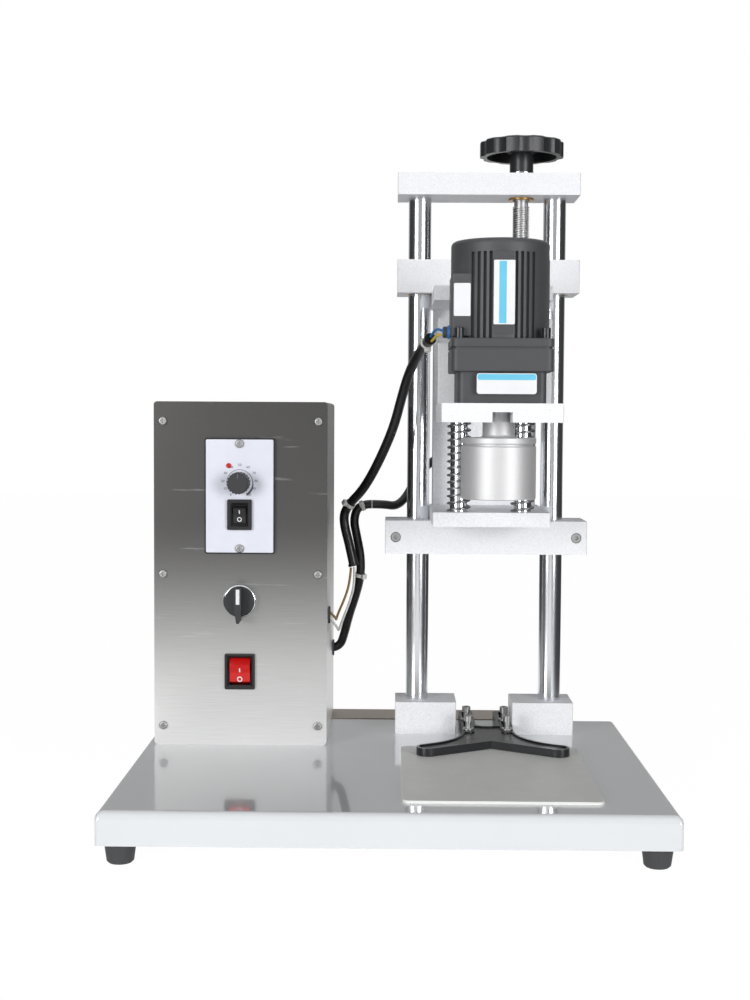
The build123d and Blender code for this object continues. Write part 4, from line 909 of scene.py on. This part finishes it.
# %% Black frame of the speed unit
SPEED_Z = BASE_TOP + 215.0
KNOB_Z = SPEED_Z + 11.5
HALF_WIDTH = 29.75
HALF_HEIGHT = 49.25
FRAME_WIDTH = 1.2
FRAME_CORNER = 2.2
FRAME_PAST = 0.25
FRAME_PROUD = 0.15
FACE_STEP = 0.6
across = HALF_WIDTH + FRAME_PAST
upward = HALF_HEIGHT + FRAME_PAST
block((CONTROLS_X - across, SPEED_FACE - FRAME_PROUD, SPEED_Z - upward),
      (CONTROLS_X + across, BOX_FRONT, SPEED_Z + upward), FRAME_CORNER)
pick("FACE", lambda mesh, face: face.normal.y < -0.9)
bpy.ops.mesh.inset(thickness=FRAME_WIDTH * MM, depth=0)
bpy.ops.mesh.extrude_region_move(TRANSFORM_OT_translate={"value": (0, FACE_STEP * MM, 0)})
bpy.ops.object.mode_set(mode="OBJECT")
hand_over("speed_unit_frame", SWITCH_BLACK, "frame")

# %% Printed scale
INK = 0.06
INK_PROUD = 0.05
FIGURE_HEIGHT = 3.0


def print_on_face(x, z):
    """Turn the flat text or curve at work into a mesh and stand it on the speed unit's face."""
    bpy.ops.object.convert(target="MESH")
    piece = only_this()
    piece.rotation_euler = (pi / 2, 0, 0)
    piece.location = place(x, SPEED_FACE - INK_PROUD, z)
    apply_place()
    return piece


def figure(text, x, z):
    """A figure on the panel, centred at a place, as a thin mesh."""
    bpy.ops.object.select_all(action="DESELECT")
    bpy.ops.object.text_add()
    words = only_this()
    words.data.body = text
    words.data.align_x = "CENTER"
    words.data.align_y = "CENTER"
    words.data.size = FIGURE_HEIGHT * MM
    words.data.extrude = INK * MM
    words.data.resolution_u = 3
    return print_on_face(x, z)


ARC_RADIUS = 10.9
FIGURES = {
    "0": (-136.6, 257.2), "10": (-141.3, 262.4), "20": (-143.4, 268.8), "30": (-141.3, 275.6),
    "40": (-136.0, 280.6), "50": (-128.9, 282.6), "60": (-121.8, 280.8), "70": (-116.6, 275.8),
    "80": (-114.8, 269.0), "90": (-116.9, 262.5), "100": (-121.4, 257.2)}
join_up([figure(text, x, z) for text, (x, z) in FIGURES.items()])
hand_over("scale_figures", MARK_GREY, "frame")


def scale_arc(first, last, start_width, end_width, steps):
    """A flat arc round the knob whose width changes from end to end, in degrees from the top, clockwise."""
    outer = []
    inner = []
    for index in range(steps + 1):
        share = index / steps
        angle = radians(first + (last - first) * share)
        width = start_width + (end_width - start_width) * sin(pi / 2 * share) ** 2
        for edge, reach in ((outer, ARC_RADIUS + width), (inner, ARC_RADIUS)):
            edge.append((reach * sin(angle), reach * cos(angle)))
    curve = bpy.data.curves.new("arc", "CURVE")
    curve.dimensions = "2D"
    curve.fill_mode = "BOTH"
    curve.extrude = INK * MM
    spline = curve.splines.new("POLY")
    rim = outer + inner[::-1]
    spline.points.add(len(rim) - 1)
    for point, (x, z) in zip(spline.points, rim):
        point.co = (x * MM, z * MM, 0, 1)
    spline.use_cyclic_u = True
    arc = bpy.data.objects.new("arc", curve)
    bpy.context.scene.collection.objects.link(arc)
    bpy.ops.object.select_all(action="DESELECT")
    arc.select_set(True)
    bpy.context.view_layer.objects.active = arc
    return print_on_face(CONTROLS_X, KNOB_Z)


join_up([scale_arc(-135, 60, 0.35, 0.45, 40), scale_arc(60, 150, 0.45, 1.9, 24)])
hand_over("scale_arc", MARK_GREY, "frame")
print("scale ready")

# %% Marks on the knobs
KNOB_GAP = 0.3
KNOB_LENGTH = 17.0
KNOB_FRONT = SPEED_FACE - KNOB_GAP - KNOB_LENGTH
BEZEL_HEIGHT = 4.3
GRIP_HEIGHT = 15.0
GRIP_FRONT = BOX_FRONT - BEZEL_HEIGHT - GRIP_HEIGHT
SELECTOR_Z = BASE_TOP + 124.9
MARK_SUNK = 0.3


def mark(half_width, front, proud, low, high, corner):
    """An upright line let into the front of a knob."""
    block((CONTROLS_X - half_width, front - proud, low),
          (CONTROLS_X + half_width, front + MARK_SUNK, high), corner)


mark(0.4, KNOB_FRONT, 0.12, KNOB_Z + 4.2, KNOB_Z + 8.0, 0.2)
hand_over("knob_pointer", MARK_GREY, "speed_control")
mark(1.5, GRIP_FRONT, 0.15, SELECTOR_Z - 1.0, SELECTOR_Z + 11.8, 0.4)
hand_over("selector_line", MARK_WHITE, "selector")
print("knob marks ready")

# %% [markdown]
# ## Signs on the rockers
# Each rocker carries a bar and a ring. The ring sits on the lower half, which is pressed flat, and the bar
# on the upper half, which leans out by twice the rocker's tilt, so each sign is turned to the face that
# carries it.

# %% Bar and ring
TILT = radians(10)
LEAN = 2 * TILT
PROUD = 1.4
BAR = (0.9, 0.2, 3.4)
BAR_CORNER = 0.3
BAR_SUNK = 0.15
RING_RADIUS = 1.35
RING_WALL = 0.75
RING_WIDTH = 0.2
RING_PROUD = 0.05
STOP_BELOW = 15.8
POWER_Z = BASE_TOP + 63.8


def rocker_signs(name, face, z, drop, bar_up, ring_down, scale, body):
    """The bar and the ring of one rocker, set on its two halves."""
    crown = PROUD + drop
    valley_z = z - crown * sin(TILT)
    valley_y = face + drop - crown * cos(TILT)
    climb = bar_up - (valley_z - z)
    half_width, half_height = BAR[0] / 2 * scale, BAR[2] / 2 * scale
    block((-half_width, 0, -half_height), (half_width, BAR[1], half_height), BAR_CORNER)
    bar = only_this()
    bar.location = -place(0, BAR_SUNK, 0)
    apply_place()
    bar.rotation_euler = (LEAN, 0, 0)
    bar.location = place(CONTROLS_X, valley_y - climb * sin(LEAN) / cos(LEAN), z + bar_up)
    apply_place()
    strap(RING_RADIUS * scale, RING_WIDTH, RING_WALL * scale, 28)
    stand(place(CONTROLS_X, valley_y - RING_PROUD, z - ring_down), (0, -1, 0))
    apply_place()
    join_up([bar, only_this()])
    hand_over(name, MARK_WHITE, body)


rocker_signs("stop_signs", SPEED_FACE, SPEED_Z - STOP_BELOW, drop=2.2, bar_up=2.4, ring_down=4.0,
             scale=0.95, body="stop_switch")
rocker_signs("power_signs", BOX_FRONT, POWER_Z, drop=5.0, bar_up=1.4, ring_down=6.6,
             scale=1.1, body="power_switch")
print("signs ready")

# %% [markdown]
# ## Lead entry
# The motor's leads come out of a blue shrink sleeve with a flared collar on the terminal cover.

# %% Blue lead entry
BARREL_DIAMETER = 77.0
COVER_PAST = 0.6
COVER_LEFT = COLUMN_X - BARREL_DIAMETER / 2 - COVER_PAST
ENTRY_Z = BASE_TOP + 350.0
ENTRY_LENGTH = 5.6
turned([(0, 3.4), (1.0, 3.9), (3.2, 3.6), (4.2, 5.2), (ENTRY_LENGTH, 5.6), (5.9, 4.9)], 36)
stand(place(COVER_LEFT - ENTRY_LENGTH, -38.5, ENTRY_Z), (1, 0, 0))
hand_over("lead_entry", WIRE_BLUE, "head")
print("lead entry ready")
